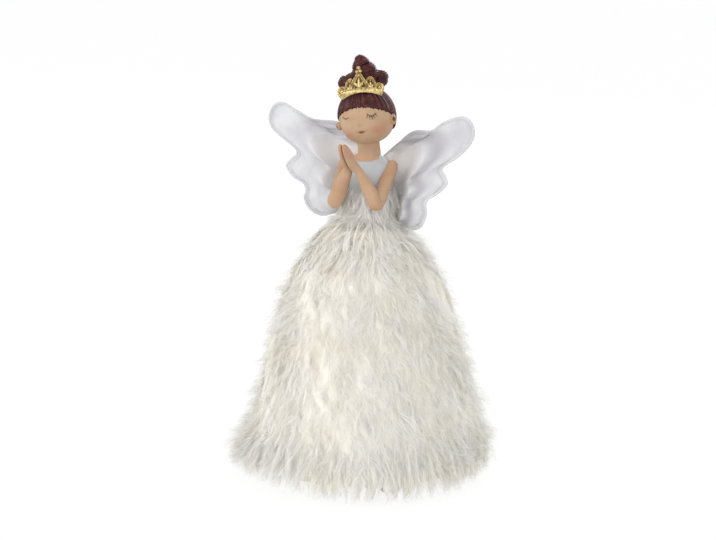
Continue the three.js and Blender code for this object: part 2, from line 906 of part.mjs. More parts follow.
function torso() {
  const body = skin(torsoRings(0, round_facets));
  const bore = rod(post_diameter + 2 * joint_gap, 0, 0, waist_height - cut_overrun,
    waist_height + post_depth_in_torso + joint_gap);
  const socket = rod(neck_diameter + 2 * joint_gap, 0, torso_setback, shoulder_line - neck_socket_depth,
    shoulder_line + cut_overrun);
  return cut(body, bore, socket);
}

// A band that follows the torso's oval, from one turn to another, or all the way round.
function torsoBand(height, band_height, thickness, gap, start_turn, end_turn, whole) {
  const steps = whole ? cone_facets / 2 : cone_facets / 3;
  const rings = [];
  const slices = 4;
  for (let i = 0; i < steps + (whole ? 0 : 1); i += 1) {
    const turn = start_turn + (i / steps) * (end_turn - start_turn);
    const ring = [];
    const corner = (z, out) => {
      const [half_width, half_depth] = torsoSize(z);
      ring.push(new THREE.Vector3(
        (half_width + out) * Math.cos(turn),
        torso_setback + (half_depth + out) * Math.sin(turn),
        z,
      ));
    };
    for (let s = 0; s <= slices; s += 1) {
      const share = s / slices;
      corner(height + band_height * share, gap + thickness * (1 / 2 + Math.sin(Math.PI * share) / 2));
    }
    for (let s = slices; s >= 0; s -= 1) {
      corner(height + (band_height * s) / slices, gap);
    }
    rings.push(ring);
  }
  return skin(rings, whole);
}

function torsoSize(z) {
  const [width_share, depth_share] = rowAt(torso_shares, (z - waist_height) / torso_height);
  return [(chest_width / 2) * width_share, (chest_depth / 2) * depth_share];
}

const facet_sag = chest_width / 2 * (1 - Math.cos(Math.PI / round_facets));

function waistBelt() {
  return torsoBand(waist_height + joint_gap, belt_band_height, belt_band_thickness, joint_gap + facet_sag,
    0, full_turn, true);
}

// The chest strip stops short of the wing patch at the back.
function bodiceFur() {
  const patch_reach = patch_width / 2 + bodice_fur_thickness;
  const half_open = Math.asin(patch_reach / (chest_width / 2 + bodice_fur_thickness));
  const start = Math.PI / 2 + half_open;
  const strip = torsoBand(waist_height + bodice_fur_rise, bodice_fur_height, bodice_fur_thickness,
    joint_gap + facet_sag, start, start + full_turn - 2 * half_open, false);
  return cut(strip, arm(1, joint_gap), arm(-1, joint_gap));
}

// The head

const head_place = new THREE.Vector3(0, head_setback, head_center_height);
const head_tilt = new THREE.Euler(
  THREE.MathUtils.degToRad(head_nod_degrees),
  THREE.MathUtils.degToRad(head_roll_degrees),
  THREE.MathUtils.degToRad(head_turn_degrees),
);

const ear_drop_share = 0.1;
const ear_forward_share = 0.07;
const ear_sunk_share = 0.12;
const nose_drop_share = 0.05;
const nose_sunk_share = 0.2;
const jaw_power = 2.25;

function headShape(grow) {
  const geometry = new THREE.SphereGeometry(1, round_facets, small_facets + 2);
  geometry.rotateX(Math.PI / 2);
  const place = geometry.getAttribute('position');
  for (let i = 0; i < place.count; i += 1) {
    const z = place.getZ(i);
    const power = z < 0 ? jaw_power : 2;
    const level = Math.hypot(place.getX(i), place.getY(i));
    const fullness = (level ** power + Math.abs(z) ** power) ** (-1 / power);
    place.setX(i, place.getX(i) * fullness * (head_width / 2 + grow));
    place.setY(i, place.getY(i) * fullness * (head_depth / 2 + grow));
    place.setZ(i, z * fullness * (head_height / 2 + grow));
  }
  return outward(geometry);
}

function neck() {
  const bottom = shoulder_line - neck_socket_depth + joint_gap;
  const radius = neck_diameter / 2;
  return skin([
    ovalRing(0, torso_setback, bottom, radius, radius, round_facets),
    ovalRing(0, torso_setback, shoulder_line, radius, radius, round_facets),
    ovalRing(0, torso_setback, shoulder_line + chin_clearance / 2, radius, radius, round_facets),
    ovalRing(0, torso_setback / 2, head_center_height - head_height / 4, radius, radius, round_facets),
  ]);
}

function tilted(geometry) {
  const turn = new THREE.Matrix4().makeRotationFromEuler(head_tilt);
  turn.setPosition(head_place);
  return geometry.clone().applyMatrix4(turn);
}

function ears(grow) {
  const drop = head_height * ear_drop_share;
  const forward = head_depth * ear_forward_share;
  const out = head_width / 2 - ear_width * ear_sunk_share;
  const half_width = ear_width / 2 + grow;
  const half_depth = ear_height / 3 + grow;
  const half_height = ear_height / 2 + grow;
  return [-1, 1].map((side) => ball(half_width, half_depth, half_height, side * out, -forward, -drop,
    small_facets, small_facets / 2));
}

function head() {
  const nose_out = -head_depth / 2 + nose_width * nose_sunk_share;
  const size = nose_width / 2;
  const nose_height = -head_height * nose_drop_share;
  const nose = ball(size, size, size, 0, nose_out, nose_height, small_facets, small_facets / 2);
  return joined(tilted(joined(headShape(0), ...ears(0), nose)), neck());
}

function hairCap() {
  const far = head_height;
  const shell = cut(headShape(hair_thickness), headShape(joint_gap));
  const face_cut = block(-far, far, -2 * far, hair_side_setback, -2 * far, 0);
  face_cut.rotateX(-THREE.MathUtils.degToRad(hair_fringe_tilt_degrees));
  face_cut.translate(0, 0, -hair_fringe_drop);
  const nape_cut = block(-far, far, -far, far, -far, -hair_nape_drop);
  return cut(shell, face_cut, nape_cut, ...ears(joint_gap));
}

// Up the bun's peak, its radius there and how far it leans aside, as shares of its height and its radius.
const bun_peak_shares = [
  [0, 0.9, 0.3],
  [0.25, 1, 0.3],
  [0.5, 0.9, 0.25],
  [0.75, 0.58, 0.2],
  [0.92, 0.32, 0.2],
  [1, 0.14, 0.2],
];

function hairBun() {
  const radius = bun_lobe_diameter / 2;
  const lobe_height = head_height / 2 + bun_rise;
  const lobes = [-1, 1].map((side) => ball(radius, radius, radius, side * bun_spread, bun_setback,
    lobe_height, small_facets, small_facets / 2));
  const peak_radius = bun_peak_diameter / 2;
  const peak = skin(bun_peak_shares.map(([up_share, radius_share, lean_share]) => ovalRing(
    peak_radius * lean_share,
    bun_setback / 2,
    lobe_height - bun_rise / 2 + bun_height * up_share,
    peak_radius * radius_share,
    peak_radius * radius_share,
    round_facets,
  )));
  const under = ball(bun_spread, radius, radius, 0, bun_setback, lobe_height, small_facets, small_facets / 2);
  return cut(joined(...lobes, peak, under), headShape(hair_thickness + joint_gap));
}

// A tiara that sits on the hair: its band droops and flares at the ends, and a tall point stands between lobes.
const crown_peak_shares = [0.28, 0.5, 1, 0.5, 0.28];
const crown_arc = THREE.MathUtils.degToRad(crown_arc_degrees);
const crown_tilt = -THREE.MathUtils.degToRad(crown_tilt_degrees);
const crown_turn = THREE.MathUtils.degToRad(crown_turn_degrees);
const crown_point_power = 1.3;
const crown_front_peak = (crown_peak_count - 1) / 2;

// side runs from -1 at one end of the band to 1 at the other; z is up from the band's lower edge there.
function crownPoint(side, out, z) {
  const turn = (side * crown_arc) / 2;
  const low = crown_rise - crown_droop * side ** 2;
  const seat = Math.sqrt((head_width / 2 + hair_thickness) ** 2 - low ** 2) + 2 * joint_gap;
  const flare = crown_flare * side ** 2 * Math.min(z / crown_band_height, 1);
  const lean = (crown_tip_lean * z) / (crown_band_height + crown_peak_height);
  const radius = seat + out + flare - lean;
  const point = new THREE.Vector3(radius * Math.sin(turn), -radius * Math.cos(turn), low + z);
  point.applyAxisAngle(new THREE.Vector3(1, 0, 0), crown_tilt);
  return point.applyAxisAngle(new THREE.Vector3(0, 0, 1), crown_turn);
}

function crownTop(share) {
  const place = share * crown_peak_count;
  const peak = Math.min(Math.floor(place), crown_peak_count - 1);
  const beside = Math.abs(place - peak - 1 / 2) * 2;
  const pointed = Math.max(1 - beside, 0) ** crown_point_power;
  const rounded = Math.sqrt(Math.max(1 - beside ** 2, 0));
  const rise = peak === crown_front_peak ? pointed : rounded;
  return crown_band_height + crown_peak_height * crown_peak_shares[peak] * rise;
}

function crown() {
  const steps = crown_peak_count * crown_peak_steps;
  const rings = [];
  for (let i = 0; i <= steps; i += 1) {
    const side = (2 * i) / steps - 1;
    const top = crownTop(i / steps);
    rings.push([
      crownPoint(side, 0, 0),
      crownPoint(side, crown_wall, 0),
      crownPoint(side, crown_wall, crown_band_height),
      crownPoint(side, crown_wall, top),
      crownPoint(side, 0, top),
      crownPoint(side, 0, crown_band_height),
    ]);
  }
  const top = crownPoint(0, crown_wall / 2, crown_band_height + crown_peak_height);
  const size = crown_finial_diameter / 2;
  const finial = ball(size, size, size, top.x, top.y, top.z, small_facets, small_facets / 2);
  return cut(joined(skin(rings), finial), headShape(hair_thickness + joint_gap));
}

// The space that the crown takes, with its gap.
function crownRoom() {
  const inside = (crown_wall - crown_finial_diameter) / 2 - joint_gap;
  const outside = (crown_wall + crown_finial_diameter) / 2 + joint_gap;
  const top = crown_band_height + crown_peak_height + crown_finial_diameter;
  const reach = 1 + crown_finial_diameter / head_width;
  const steps = crown_peak_count * crown_peak_steps;
  const rings = [];
  for (let i = 0; i <= steps; i += 1) {
    const side = ((2 * i) / steps - 1) * reach;
    rings.push([
      crownPoint(side, inside, -cut_overrun),
      crownPoint(side, outside, -cut_overrun),
      crownPoint(side, outside, crown_band_height),
      crownPoint(side, outside, top),
      crownPoint(side, inside, top),
      crownPoint(side, inside, crown_band_height),
    ]);
  }
  return skin(rings);
}

function headPieces() {
  const group = new THREE.Group();
  group.position.copy(head_place);
  group.rotation.copy(head_tilt);
  group.add(mesh('hair_cap', 'hair', hairCap()));
  group.add(mesh('crown', 'gold', crown()));
  group.add(mesh('hair_bun', 'hair', cut(hairBun(), crownRoom())));
  return group;
}

// Arms: side is 1 for the angel's left, 0 is the plane where the palms meet.

function limb(stations, side_axis) {
  const rings = stations.map(({ at, first, other }, i) => {
    const before = stations[Math.max(i - 1, 0)].at;
    const after = stations[Math.min(i + 1, stations.length - 1)].at;
    const direction = after.clone().sub(before).normalize();
    return slantedRing(at, direction, side_axis, first / 2, other / 2, small_facets);
  });
  return skin(rings);
}

function arm(side, grow = 0) {
  const shoulder_x = (side * shoulder_width) / 2;
  const shoulder = new THREE.Vector3(shoulder_x, shoulder_setback, shoulder_line - shoulder_drop);
  const elbow = new THREE.Vector3((side * elbow_width) / 2, -elbow_forward, shoulder_line - elbow_drop);
  const palm_out = joint_gap + palm_thickness / 2;
  const wrist = new THREE.Vector3(side * (wrist_width / 2), -wrist_forward, shoulder_line - wrist_drop);
  const tip_out = joint_gap + palm_thickness / 4;
  const tip = new THREE.Vector3(side * tip_out, -fingertip_forward, shoulder_line + fingertip_rise);
  const across = new THREE.Vector3(1, 0, 0);
  const between = (a, b, share) => new THREE.Vector3().lerpVectors(a, b, share);
  const upper_shares = [0, 0.15, 0.5, 0.85, 1];
  const end_share = 0.8;
  const wrist_flat_share = 0.86;
  const upper = limb(upper_shares.map((share) => {
    const taper = share === 1 ? end_share : 1;
    const width = THREE.MathUtils.lerp(upper_arm_diameter, elbow_diameter, share) * taper;
    return { at: between(shoulder, elbow, share), first: width + 2 * grow, other: width + 2 * grow };
  }), across);
  const forearm_shares = [[0, 0.8], [0.15, 1], [0.4, 1], [0.7, 0.82], [1, 0.58]];
  const stations = forearm_shares.map(([share, width]) => ({
    at: between(elbow, wrist, share),
    first: forearm_diameter * width + 2 * grow,
    other: forearm_diameter * width + 2 * grow,
  }));
  const hand_shares = [
    [0.22, 0.9, 0.9],
    [0.42, 1, 1],
    [0.66, 0.86, 0.94],
    [0.88, 0.7, 0.8],
    [1, 0.45, 0.5],
  ];
  const palm = wrist.clone().setX(side * palm_out);
  for (const [share, thick, broad] of hand_shares) {
    const at = between(palm, tip, share);
    stations.push({ at, first: palm_thickness * thick, other: palm_breadth * broad });
  }
  stations[forearm_shares.length - 1].first = wrist_diameter * wrist_flat_share;
  const lower = limb(stations, across);
  const joint_ball = (diameter, at) => {
    const radius = diameter / 2 + grow;
    return ball(radius, radius, radius, at.x, at.y, at.z, small_facets, small_facets / 2 + 1);
  };
  const cap = joint_ball(upper_arm_diameter, shoulder);
  const knob = joint_ball(elbow_diameter, elbow);
  const far = shoulder_width;
  const half_space = block(
    side > 0 ? joint_gap / 2 : -far,
    side > 0 ? far : -joint_gap / 2,
    -far - wrist_forward,
    far,
    waist_height,
    shoulder_line + far,
  );
  const limbs = joined(upper, lower, cap, knob);
  return grow > 0 ? limbs : kept(cut(limbs, skin(torsoRings(joint_gap, round_facets))), half_space);
}

// Wings

const wing_bottom = waist_height + wing_above_waist;
const wing_root_x = wing_root_width / 2;
const wing_span = wing_reach - wing_root_x;
const patch_front = torso_setback + chest_depth / 2 + joint_gap;
const patch_back = patch_front + patch_thickness;
const wing_root_y = patch_back + wing_clearance + wing_padding / 2;

// Out from the root and up from the lowest point, as shares of the wing's span and height.
const wing_outline_shares = [
  [0, 0.6],
  [0.16, 0.72],
  [0.33, 0.83],
  [0.56, 0.86],
  [0.7, 0.94],
  [0.855, 1],
  [0.955, 0.97],
  [1, 0.86],
  [0.965, 0.76],
  [0.85, 0.66],
  [0.745, 0.595],
  [0.705, 0.545],
  [0.75, 0.49],
  [0.77, 0.425],
  [0.68, 0.335],
  [0.58, 0.28],
  [0.555, 0.225],
  [0.575, 0.15],
  [0.53, 0.05],
  [0.43, 0],
  [0.3, 0.03],
  [0.15, 0.07],
  [0, 0.09],
];

function wingOutline(steps) {
  const points = wing_outline_shares.map(([across_share, up_share]) => new THREE.Vector3(
    wing_root_x + wing_span * across_share,
    0,
    wing_bottom + wing_height * up_share,
  ));
  return new THREE.CatmullRomCurve3(points, false, 'centripetal').getSpacedPoints(steps);
}

// The outline drawn in by a distance, square to its own direction.
function drawnIn(points, distance) {
  return points.map((point, i) => {
    const before = points[Math.max(i - 1, 0)];
    const after = points[Math.min(i + 1, points.length - 1)];
    const direction = after.clone().sub(before).normalize();
    const inward = new THREE.Vector3(direction.z, 0, -direction.x);
    return point.clone().addScaledVector(inward, distance);
  });
}

// How far forward the wing's cloth lies at a point: it sweeps forward and rises to a long soft fold.
const ridge_low_share = 0.28;
const ridge_high_share = 0.74;
const ridge_width_share = 0.14;

function wingForward(x, z) {
  const out = THREE.MathUtils.clamp((x - wing_root_x) / wing_span, 0, 1);
  const high = THREE.MathUtils.clamp((z - wing_bottom) / wing_height, 0, 1);
  const past_patch = Math.max(x - patch_width / 2 - wing_clearance, 0) / wing_span;
  const sweep = past_patch * (wing_sweep + wing_lower_sweep * (1 - high) ** 2);
  const ridge_share = ridge_low_share + (ridge_high_share - ridge_low_share) * high;
  const rise = Math.min(past_patch / ridge_low_share, 1);
  return sweep + wing_fold * rise * Math.exp(-(((out - ridge_share) / ridge_width_share) ** 2));
}

function wingSurfacePoint(flat, side, lift) {
  const y = wing_root_y - wingForward(flat.x, flat.z) + lift;
  return new THREE.Vector3(side * flat.x, y, flat.z);
}

function wingPanel(side) {
  const along = wing_steps;
  const across = wing_rows;
  const edge = drawnIn(wingOutline(along), wing_wire_diameter + joint_gap);
  const root_top = edge[0];
  const root_bottom = edge[along];
  const positions = [];
  const triangles = [];
  const rows = across + 1;
  for (const face of [-1, 1]) {
    for (let i = 0; i <= along; i += 1) {
      const down_share = THREE.MathUtils.smoothstep(i / along, 0, 1);
      const root = new THREE.Vector3().lerpVectors(root_top, root_bottom, down_share);
      for (let j = 0; j <= across; j += 1) {
        const share = j / across;
        const flat = new THREE.Vector3().lerpVectors(root, edge[i], share);
        const swell = Math.sqrt(Math.max(Math.sin(Math.PI * share), 0)) * Math.sin((Math.PI * i) / along);
        const thick = THREE.MathUtils.lerp(wing_hem_thickness, wing_padding, swell);
        positions.push(wingSurfacePoint(flat, side, (face * thick) / 2));
      }
    }
  }
  const back = (along + 1) * rows;
  const quad = (a, b, c, d) => triangles.push(a, b, c, a, c, d);
  for (let i = 0; i < along; i += 1) {
    for (let j = 0; j < across; j += 1) {
      const a = i * rows + j;
      quad(a, a + 1, a + rows + 1, a + rows);
      quad(back + a + 1, back + a, back + a + rows, back + a + rows + 1);
    }
    const root = i * rows;
    quad(root + rows, back + root + rows, back + root, root);
    quad(root + across, back + root + across, back + root + across + rows, root + across + rows);
  }
  for (let j = 0; j < across; j += 1) {
    quad(j, back + j, back + j + 1, j + 1);
    const end = along * rows + j;
    quad(end + 1, back + end + 1, back + end, end);
  }
  return outward(closedGeometry(positions, triangles));
}

function wingWire(side) {
  const points = drawnIn(wingOutline(wing_steps), wing_wire_diameter / 2);
  return wire(points.map((point) => wingSurfacePoint(point, side, 0)), wing_wire_diameter);
}

const patch_top_share = 0.9;

function wingPatch() {
  const top = waist_height + torso_height * patch_top_share;
  return block(-patch_width / 2, patch_width / 2, patch_front, patch_back, top - patch_height, top);
}

function bustPieces() {
  const group = new THREE.Group();
  group.add(mesh('torso', 'bodice', torso()));
  group.add(mesh('head', 'skin', head()));
  group.add(headPieces());
  group.add(mesh('waist_belt', 'silver', waistBelt()));
  group.add(mesh('bodice_fur', 'fur', bodiceFur()));
  group.add(mesh('wing_patch', 'felt', wingPatch()));
  for (const [name, side] of [['left', 1], ['right', -1]]) {
    group.add(mesh(`arm_${name}`, 'skin', arm(side)));
    group.add(mesh(`wing_${name}`, 'satin', wingPanel(side)));
    group.add(mesh(`wing_wire_${name}`, 'satin', wingWire(side)));
  }
  return group;
}

const angel = new THREE.Group();
angel.name = 'light_up_angel';
angel.add(mesh('base_plate', 'plastic', basePlate()));
angel.add(feet());
angel.add(batteryUnit());
angel.add(mesh('skirt_cone', 'carcass', skirtCone()));
angel.add(mesh('cone_cap', 'carcass', coneCap()));
angel.add(mesh('bust_post', 'wood', bustPost()));
angel.add(mesh('skirt_fur', 'fur', skirtFur()));
angel.add(bustPieces());

export default angel;
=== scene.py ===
import math

import bpy
import numpy as np
from mathutils import Euler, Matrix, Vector


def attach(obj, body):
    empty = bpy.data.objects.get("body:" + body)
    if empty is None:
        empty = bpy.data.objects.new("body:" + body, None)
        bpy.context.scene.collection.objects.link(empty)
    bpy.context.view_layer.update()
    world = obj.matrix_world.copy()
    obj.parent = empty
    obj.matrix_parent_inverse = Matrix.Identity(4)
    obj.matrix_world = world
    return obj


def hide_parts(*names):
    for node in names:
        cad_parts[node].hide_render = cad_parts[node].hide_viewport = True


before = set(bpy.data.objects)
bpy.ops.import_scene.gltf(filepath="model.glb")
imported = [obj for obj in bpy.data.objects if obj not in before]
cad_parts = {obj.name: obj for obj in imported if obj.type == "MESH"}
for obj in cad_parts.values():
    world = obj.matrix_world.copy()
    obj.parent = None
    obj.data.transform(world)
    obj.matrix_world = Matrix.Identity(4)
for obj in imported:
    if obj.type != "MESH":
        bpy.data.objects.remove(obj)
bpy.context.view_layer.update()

MM = 0.001
FULL_TURN = 2 * math.pi
golden_turn = math.pi * (3 - math.sqrt(5))
white = (1, 1, 1, 1)
side_names = {1: "left", -1: "right"}
# Keeps the first and last ring of a ball open.
pole_gap = 0.001

# Photograph
photo_width_px = 716
photo_mm_per_px = 0.652
skirt_axis_px = 366
camera_azimuth_deg = 24
camera_elevation_deg = 11.5
camera_distance_mm = 1400
camera_target_height_mm = 136.4
sensor_width_mm = 36

# Light
world_strength = 0.7
floor_glow = 1.03
floor_glow_share = 0.9
floor_half_m = 4.0
lamps_aim_m = (0, 0, 0.14)
# Each lamp: its place and width in metres, its power in watts and its colour.
lamps = {
    "key": ((-0.95, -1.3, 1.2), 1.1, 12.2, (1, 1, 1)),
    "fill": ((0.85, -1.45, 0.5), 1.2, 6.8, (1, 1, 1)),
    "rim": ((0.2, 1.5, 0.9), 1.6, 19, (0.88, 0.94, 1.0)),
}

# Heights and bust
waist_mm = 165.1
torso_height_mm = 47
shoulder_line_mm = waist_mm + torso_height_mm
chest_width_mm = 31
chest_depth_mm = 25
torso_setback_mm = 4

# Head
head_half_mm = np.array([17.9, 17.9, 18.0])
head_center_mm = np.array([0.0, 1.0, 237.3])
head_turn = Euler((math.radians(4), math.radians(-10.8), math.radians(6.8)), "ZYX").to_matrix()
jaw_power = 2.25
hair_thickness_mm = 1.4
neck_radius_mm = 7
neck_height_mm = 16
neck_sunk_mm = 3
neck_lean_mm = 3
neck_aside_mm = 0.5
neck_foot_mm = 0.9
neck_top_mm = 0.5

# Face: places are across and up from the head's middle.
nose_place_mm = (0.0, -1.8)
mouth_place_mm = (0.1, -7.6)
# The inner and outer end of each closed lid, and how far it sags between them.
lids_mm = {1: ((5.9, 3.7), (11.0, 2.7), 1.8), -1: ((-6.3, 2.9), (-10.9, 3.4), 1.3)}
lid_swell_above_mm = 1.4
cheeks_mm = {1: (9.9, -8.0), -1: (-9.7, -8.0)}
# Each swell of the face: its place, how far it spreads across and up, and how far it stands out.
face_swells_mm = [
    (nose_place_mm, (2.1, 2.2), 0.85),
    ((0, nose_place_mm[1] + 4), (1.6, 3.4), 0.45),
    (mouth_place_mm, (2.3, 1.1), 0.5),
    (mouth_place_mm, (2.2, 0.3), -0.35),
    ((0, -14), (4, 3), 0.5),
]
lid_swell_mm, lid_rise_mm = (2.9, 1.5), 0.65
cheek_swell_mm, cheek_rise_mm = (4, 3.4), 0.5
blush_reach_mm = (3.9, 3.4)
nose_blush_reach_mm = (1.8, 1.6)
# Swells and paint fade in between these depths in front of the head's middle.
face_front_mm = (0, 8)
paint_front_mm = (2, 9)
mouth_half_mm = 2.0
mouth_line_half_mm = 4.2
lip_half_mm = 0.95
lip_least_mm = 0.3
lip_taper = 0.1
lip_line_mm = 0.35
lip_curl = 0.05
lid_line_half_mm = {1: 0.52, -1: 0.44}
lid_line_lift_mm = 0.02
lash_lift_mm = 0.03
lash_half_mm = 0.38
lash_shorter_mm = 0.9
lash_fall_mm = 2.6
lash_fan_mm = 1.5
# Each ear: its place along and up, and its size as a share.
ears_mm = {1: (-2.1, -4.3, 1), -1: (-4.4, -3.2, 0.72)}
ear_half_mm = (2.4, 2.4, 3.3)
ear_inset_mm = 0.4

# Hair
hair_low_mm = -2.5
hair_rise_mm = 11
hair_behind_mm = -11.5
# The hair's edge drops to the nape between these turns from the front.
hair_behind_deg = (84, 102)
hair_fringe_mm = (0.3, 0.2)
hair_turn_deg = 3
hair_groove_mm = 0.55
hair_clearance_mm = 0.15
hair_over_mm = 1
hair_lining_mm = 0.6
# Up the bun's coil: height, middle across and half width, in the head's frame.
bun_rings_mm = np.array([
    [17, 2.4, 9.6], [20, 2.6, 10.4], [24, 2.8, 10.3], [27.5, 2.9, 9.4], [30, 2.7, 8.4], [32.3, 2.5, 7.1],
    [34.2, 2.3, 5.9], [36.5, 2, 4.4], [38.3, 1.9, 2.8], [39.4, 1.9, 0.4],
])
bun_height_mm = 39
bun_setback_mm = 4
# The coil's rings slant, not at all at the first of these heights and fully from the second down.
bun_slant_mm = 0.4
bun_slant_zone_mm = (39, 30)
# Each side lobe of the bun: its middle in the head's frame and its half sizes.
bun_lobes_mm = [
    ((11.6, 7, 21.7), (5.9, 6, 5.7)), ((-12.2, 7, 22.9), (5.0, 5.4, 4.6)),
    ((-6.5, 5.5, 24.2), (6.6, 6.2, 4.4)), ((1, 9, 21), (12, 6.4, 6.6)),
]

# Crown
crown_wall_mm = 1
crown_band_mm = 3.5
crown_peak_mm = 13.4
crown_rise_mm = 9.5
crown_droop_mm = 2.5
crown_flare_mm = 3.6
crown_tip_lean_mm = 1
crown_seat_gap_mm = 0.6
crown_seating = Euler((math.radians(-27), math.radians(4), math.radians(9))).to_matrix()
crown_arc_deg = 81
crown_half_mm = 14
crown_ground_mm = 0.35
# Each arch of the crown: its middle and half width along the band as shares, its height in millimetres.
crown_arches = [
    (-0.86, 0.17, 3.9), (0.86, 0.17, 3.9), (-0.5, 0.25, 7.6), (0.5, 0.25, 7.6),
    (-0.06, 0.66, crown_peak_mm),
]
# Each ball on the tip: its place along the band as a share, its height over the tip and its radius.
crown_balls = [(-0.06, 0.2, 1.4), (-0.145, -2.2, 1.15), (0.025, -2.2, 1.15)]
crown_ball_lift_mm = 0.3
# Each border round an arch: how far inside, half width and its height as a share.
crown_borders = [(0.45, 0.42, 1), (1.75, 0.3, 0.6)]
crown_border_rise_mm = 0.95
crown_overlap_mm = 0.4
crown_leaf_rise_mm = 0.75
crown_leaf_sunk_mm = 0.2
crown_hollow_mm = (0.8, 1.4)
crown_sunk_mm = 0.45
# Each leaf of an arch: its lean in radians and its length as a share of the arch's height.
crown_leaf_shares = [(-0.62, 0.42), (0, 0.55), (0.62, 0.42)]
crown_end_shares = (0.93, 0.965)
crown_end_rise_mm = 0.9
band_middle_mm = 1.5
band_half_mm = 1.7
band_rise_mm = 0.75
band_edge_half_mm = 0.3
band_edge_rise_mm = 0.35

# Torso and belt
# Up the torso: height, width and depth as shares of the bust's.
torso_shares = np.array([
    [0, 0.86, 0.86], [0.14, 0.84, 0.84], [0.32, 0.93, 0.92], [0.55, 1.02, 1], [0.74, 1.06, 0.94],
    [0.88, 0.98, 0.78], [0.96, 0.66, 0.6], [1, 0.5, 0.54],
])
neckline_drop_mm = 3.5
neckline_side_rise_mm = 2.8
paint_mm = 0.15
bodice_paint_mm = 0.25
bodice_hem_mm = 0.35
bodice_hem_half_mm = 0.55
bodice_hem_drop_mm = 0.5
paint_edge_mm = 0.15
belt_rows_mm = (0.9, 2.3, 3.7)
belt_beads = 62
belt_bead_mm = 0.72
belt_bead_out_mm = 1.25
belt_middle_out_mm = 0.2
belt_bead_shares = (0.9, 1.08)
belt_jitter_mm = 0.12
# The belt's ribbon: height over the waist and distance out.
belt_ribbon_mm = [(0.4, 0.35), (0.4, 1.1), (2.3, 1.3), (4.2, 1.1), (4.2, 0.35)]

# Arms: places are from the shoulder line, and across is outward.
shoulder_mm = (17.0, 3.0, -7.5)
elbow_y_mm, elbow_drop_mm = -17.0, 28.5
hand_y_mm, hand_drop_mm = -22.0, 7
fingertip_mm = (1.3, -38.5, 11.2)
# Each arm: how far out its elbow is, half the forearm's width, how far out its wrist is,
# and half the hand's thickness.
arm_sizes_mm = {1: (15.0, 4.5, 4.4, 2.5), -1: (14.3, 5.1, 3.3, 1.9)}
# From the shoulder's middle down: how far back, how far up and half the arm's width both ways.
shoulder_stations_mm = [
    (1.2, 4.7, 0.1, 0.1), (1, 4.2, 1.6, 1.6), (0.7, 3.1, 2.7, 2.7), (0.3, 1.6, 3.5, 3.6),
]
# Down the upper arm: place as a share and half width.
upper_arm_stations = [(0.12, 4.2), (0.45, 4.3), (0.8, 4.5), (0.97, 4.5)]
elbow_share, elbow_bulge_mm = 0.07, (0, -1.2, -0.6)
# Up the forearm: place as a share, and how much less its half width is than at the elbow.
forearm_stations = [(0.3, 0), (0.55, 0.4), (0.8, 1)]
wrist_less_mm = (1.9, 1.5)
palm_gap_mm = 0.4
# Up the palm: place as a share, how much less its half thickness is than the hand's, and its half breadth.
palm_stations = [(0.22, 0, 3.8), (0.42, 0, 4.2), (0.66, 0.3, 3.95)]
# Up the fingers: place as a share, half thickness and half breadth.
finger_stations = [(0.88, 1.4, 2.8), (0.97, 1.0, 1.7), (1.0, 0.6, 0.9), (1.01, 0.05, 0.05)]
palm_plane_mm = 0.32
finger_pitch_mm = 1.75
finger_groove_mm = 0.32
finger_start_mm = -2
finger_run_mm = 13
hand_start_mm = 4
hand_front_mm = (22, 25)
finger_side_mm = 1.2

# Wings
wing_root_x_mm = 2.5
wing_span_mm = 70.5
wing_bottom_mm = waist_mm + 4.5
wing_height_mm = 72.4
wing_root_y_mm = 20.2
wing_sweep_mm = 11
wing_lower_sweep_mm = 36
wing_fold_mm = 7
wing_patch_half_mm = 10.4
# Round a wing from its upper root: how far out and how high, as shares of its span and height.
wing_outline_shares = np.array([
    [0, 0.6], [0.16, 0.72], [0.33, 0.83], [0.56, 0.86], [0.7, 0.94], [0.855, 1], [0.955, 0.97], [1, 0.86],
    [0.965, 0.76], [0.85, 0.66], [0.745, 0.595], [0.705, 0.545], [0.75, 0.49], [0.77, 0.425], [0.68, 0.335],
    [0.58, 0.28], [0.555, 0.225], [0.575, 0.15], [0.53, 0.05], [0.43, 0], [0.3, 0.03], [0.15, 0.07],
    [0, 0.09],
])
wing_edge_inset_mm = 0.9
wing_cord_inset_mm = 0.75
wing_cord_half_mm = 0.95
wing_skin_mm = 0.35
wing_puff_mm = 1.5
wing_puff_zone_mm = (2.3, 9)
wing_rim_mm = 0.35
wing_rim_zone_mm = (0.3, 1.5)
wing_seam_mm = 0.4
wing_seam_inset_mm = 2.3
wing_seam_half_mm = 0.5
wing_crease_zone_mm = (0.5, 2)
wing_open_zone_mm = (5, 12)
# Two rows of creases along the edge: how far inside and how wide.
wing_gather_mm = (4.2, 2.0)
wing_pucker_mm = (3.0, 0.8)
wing_margin_mm = 3
wing_swell_zone_mm = (5, 14)
wing_swell_mm = 3.6
wing_dip_mm = 1.2
# The fold's ridge, across the wing: a share at the bottom and how much it moves outward up to the top.
wing_ridge_shares = (0.28, 0.46)
# Each row of stitches: how far inside the outline and how many.
stitch_rows = [(2.15, 118), (2.95, 112)]
stitch_half_mm = 0.16
stitch_lift_mm = 0.62

# Fur
fur_seed = 7
fur_top_mm = 165.6
fur_floor_mm = 0.8
fur_hem_mm = 19
fur_reach_mm = 97
# The hem is brushed outward on one side.
hem_sweep_deg = -66
hem_sweep_mm = 8
hem_sweep_zone_mm = (38, 14)
# The hem's loose ends hang lowest here and opposite, and this much higher between.
hem_low_deg = 34
hem_rise_mm = 6.5
hem_uneven_mm = 8
hem_inner_uneven_mm = 14
# Height and outer radius of the fur's dense part.
fur_outline_mm = np.array([
    [0, 78], [12, 81], [30, 79.5], [48, 75.3], [67, 70], [85, 65.5], [103, 61.3], [120, 55.8], [135, 49.6],
    [148, 42], [158, 34.5], [166, 29.5], [171, 27], [176, 25],
])
wisp_top_mm = 44
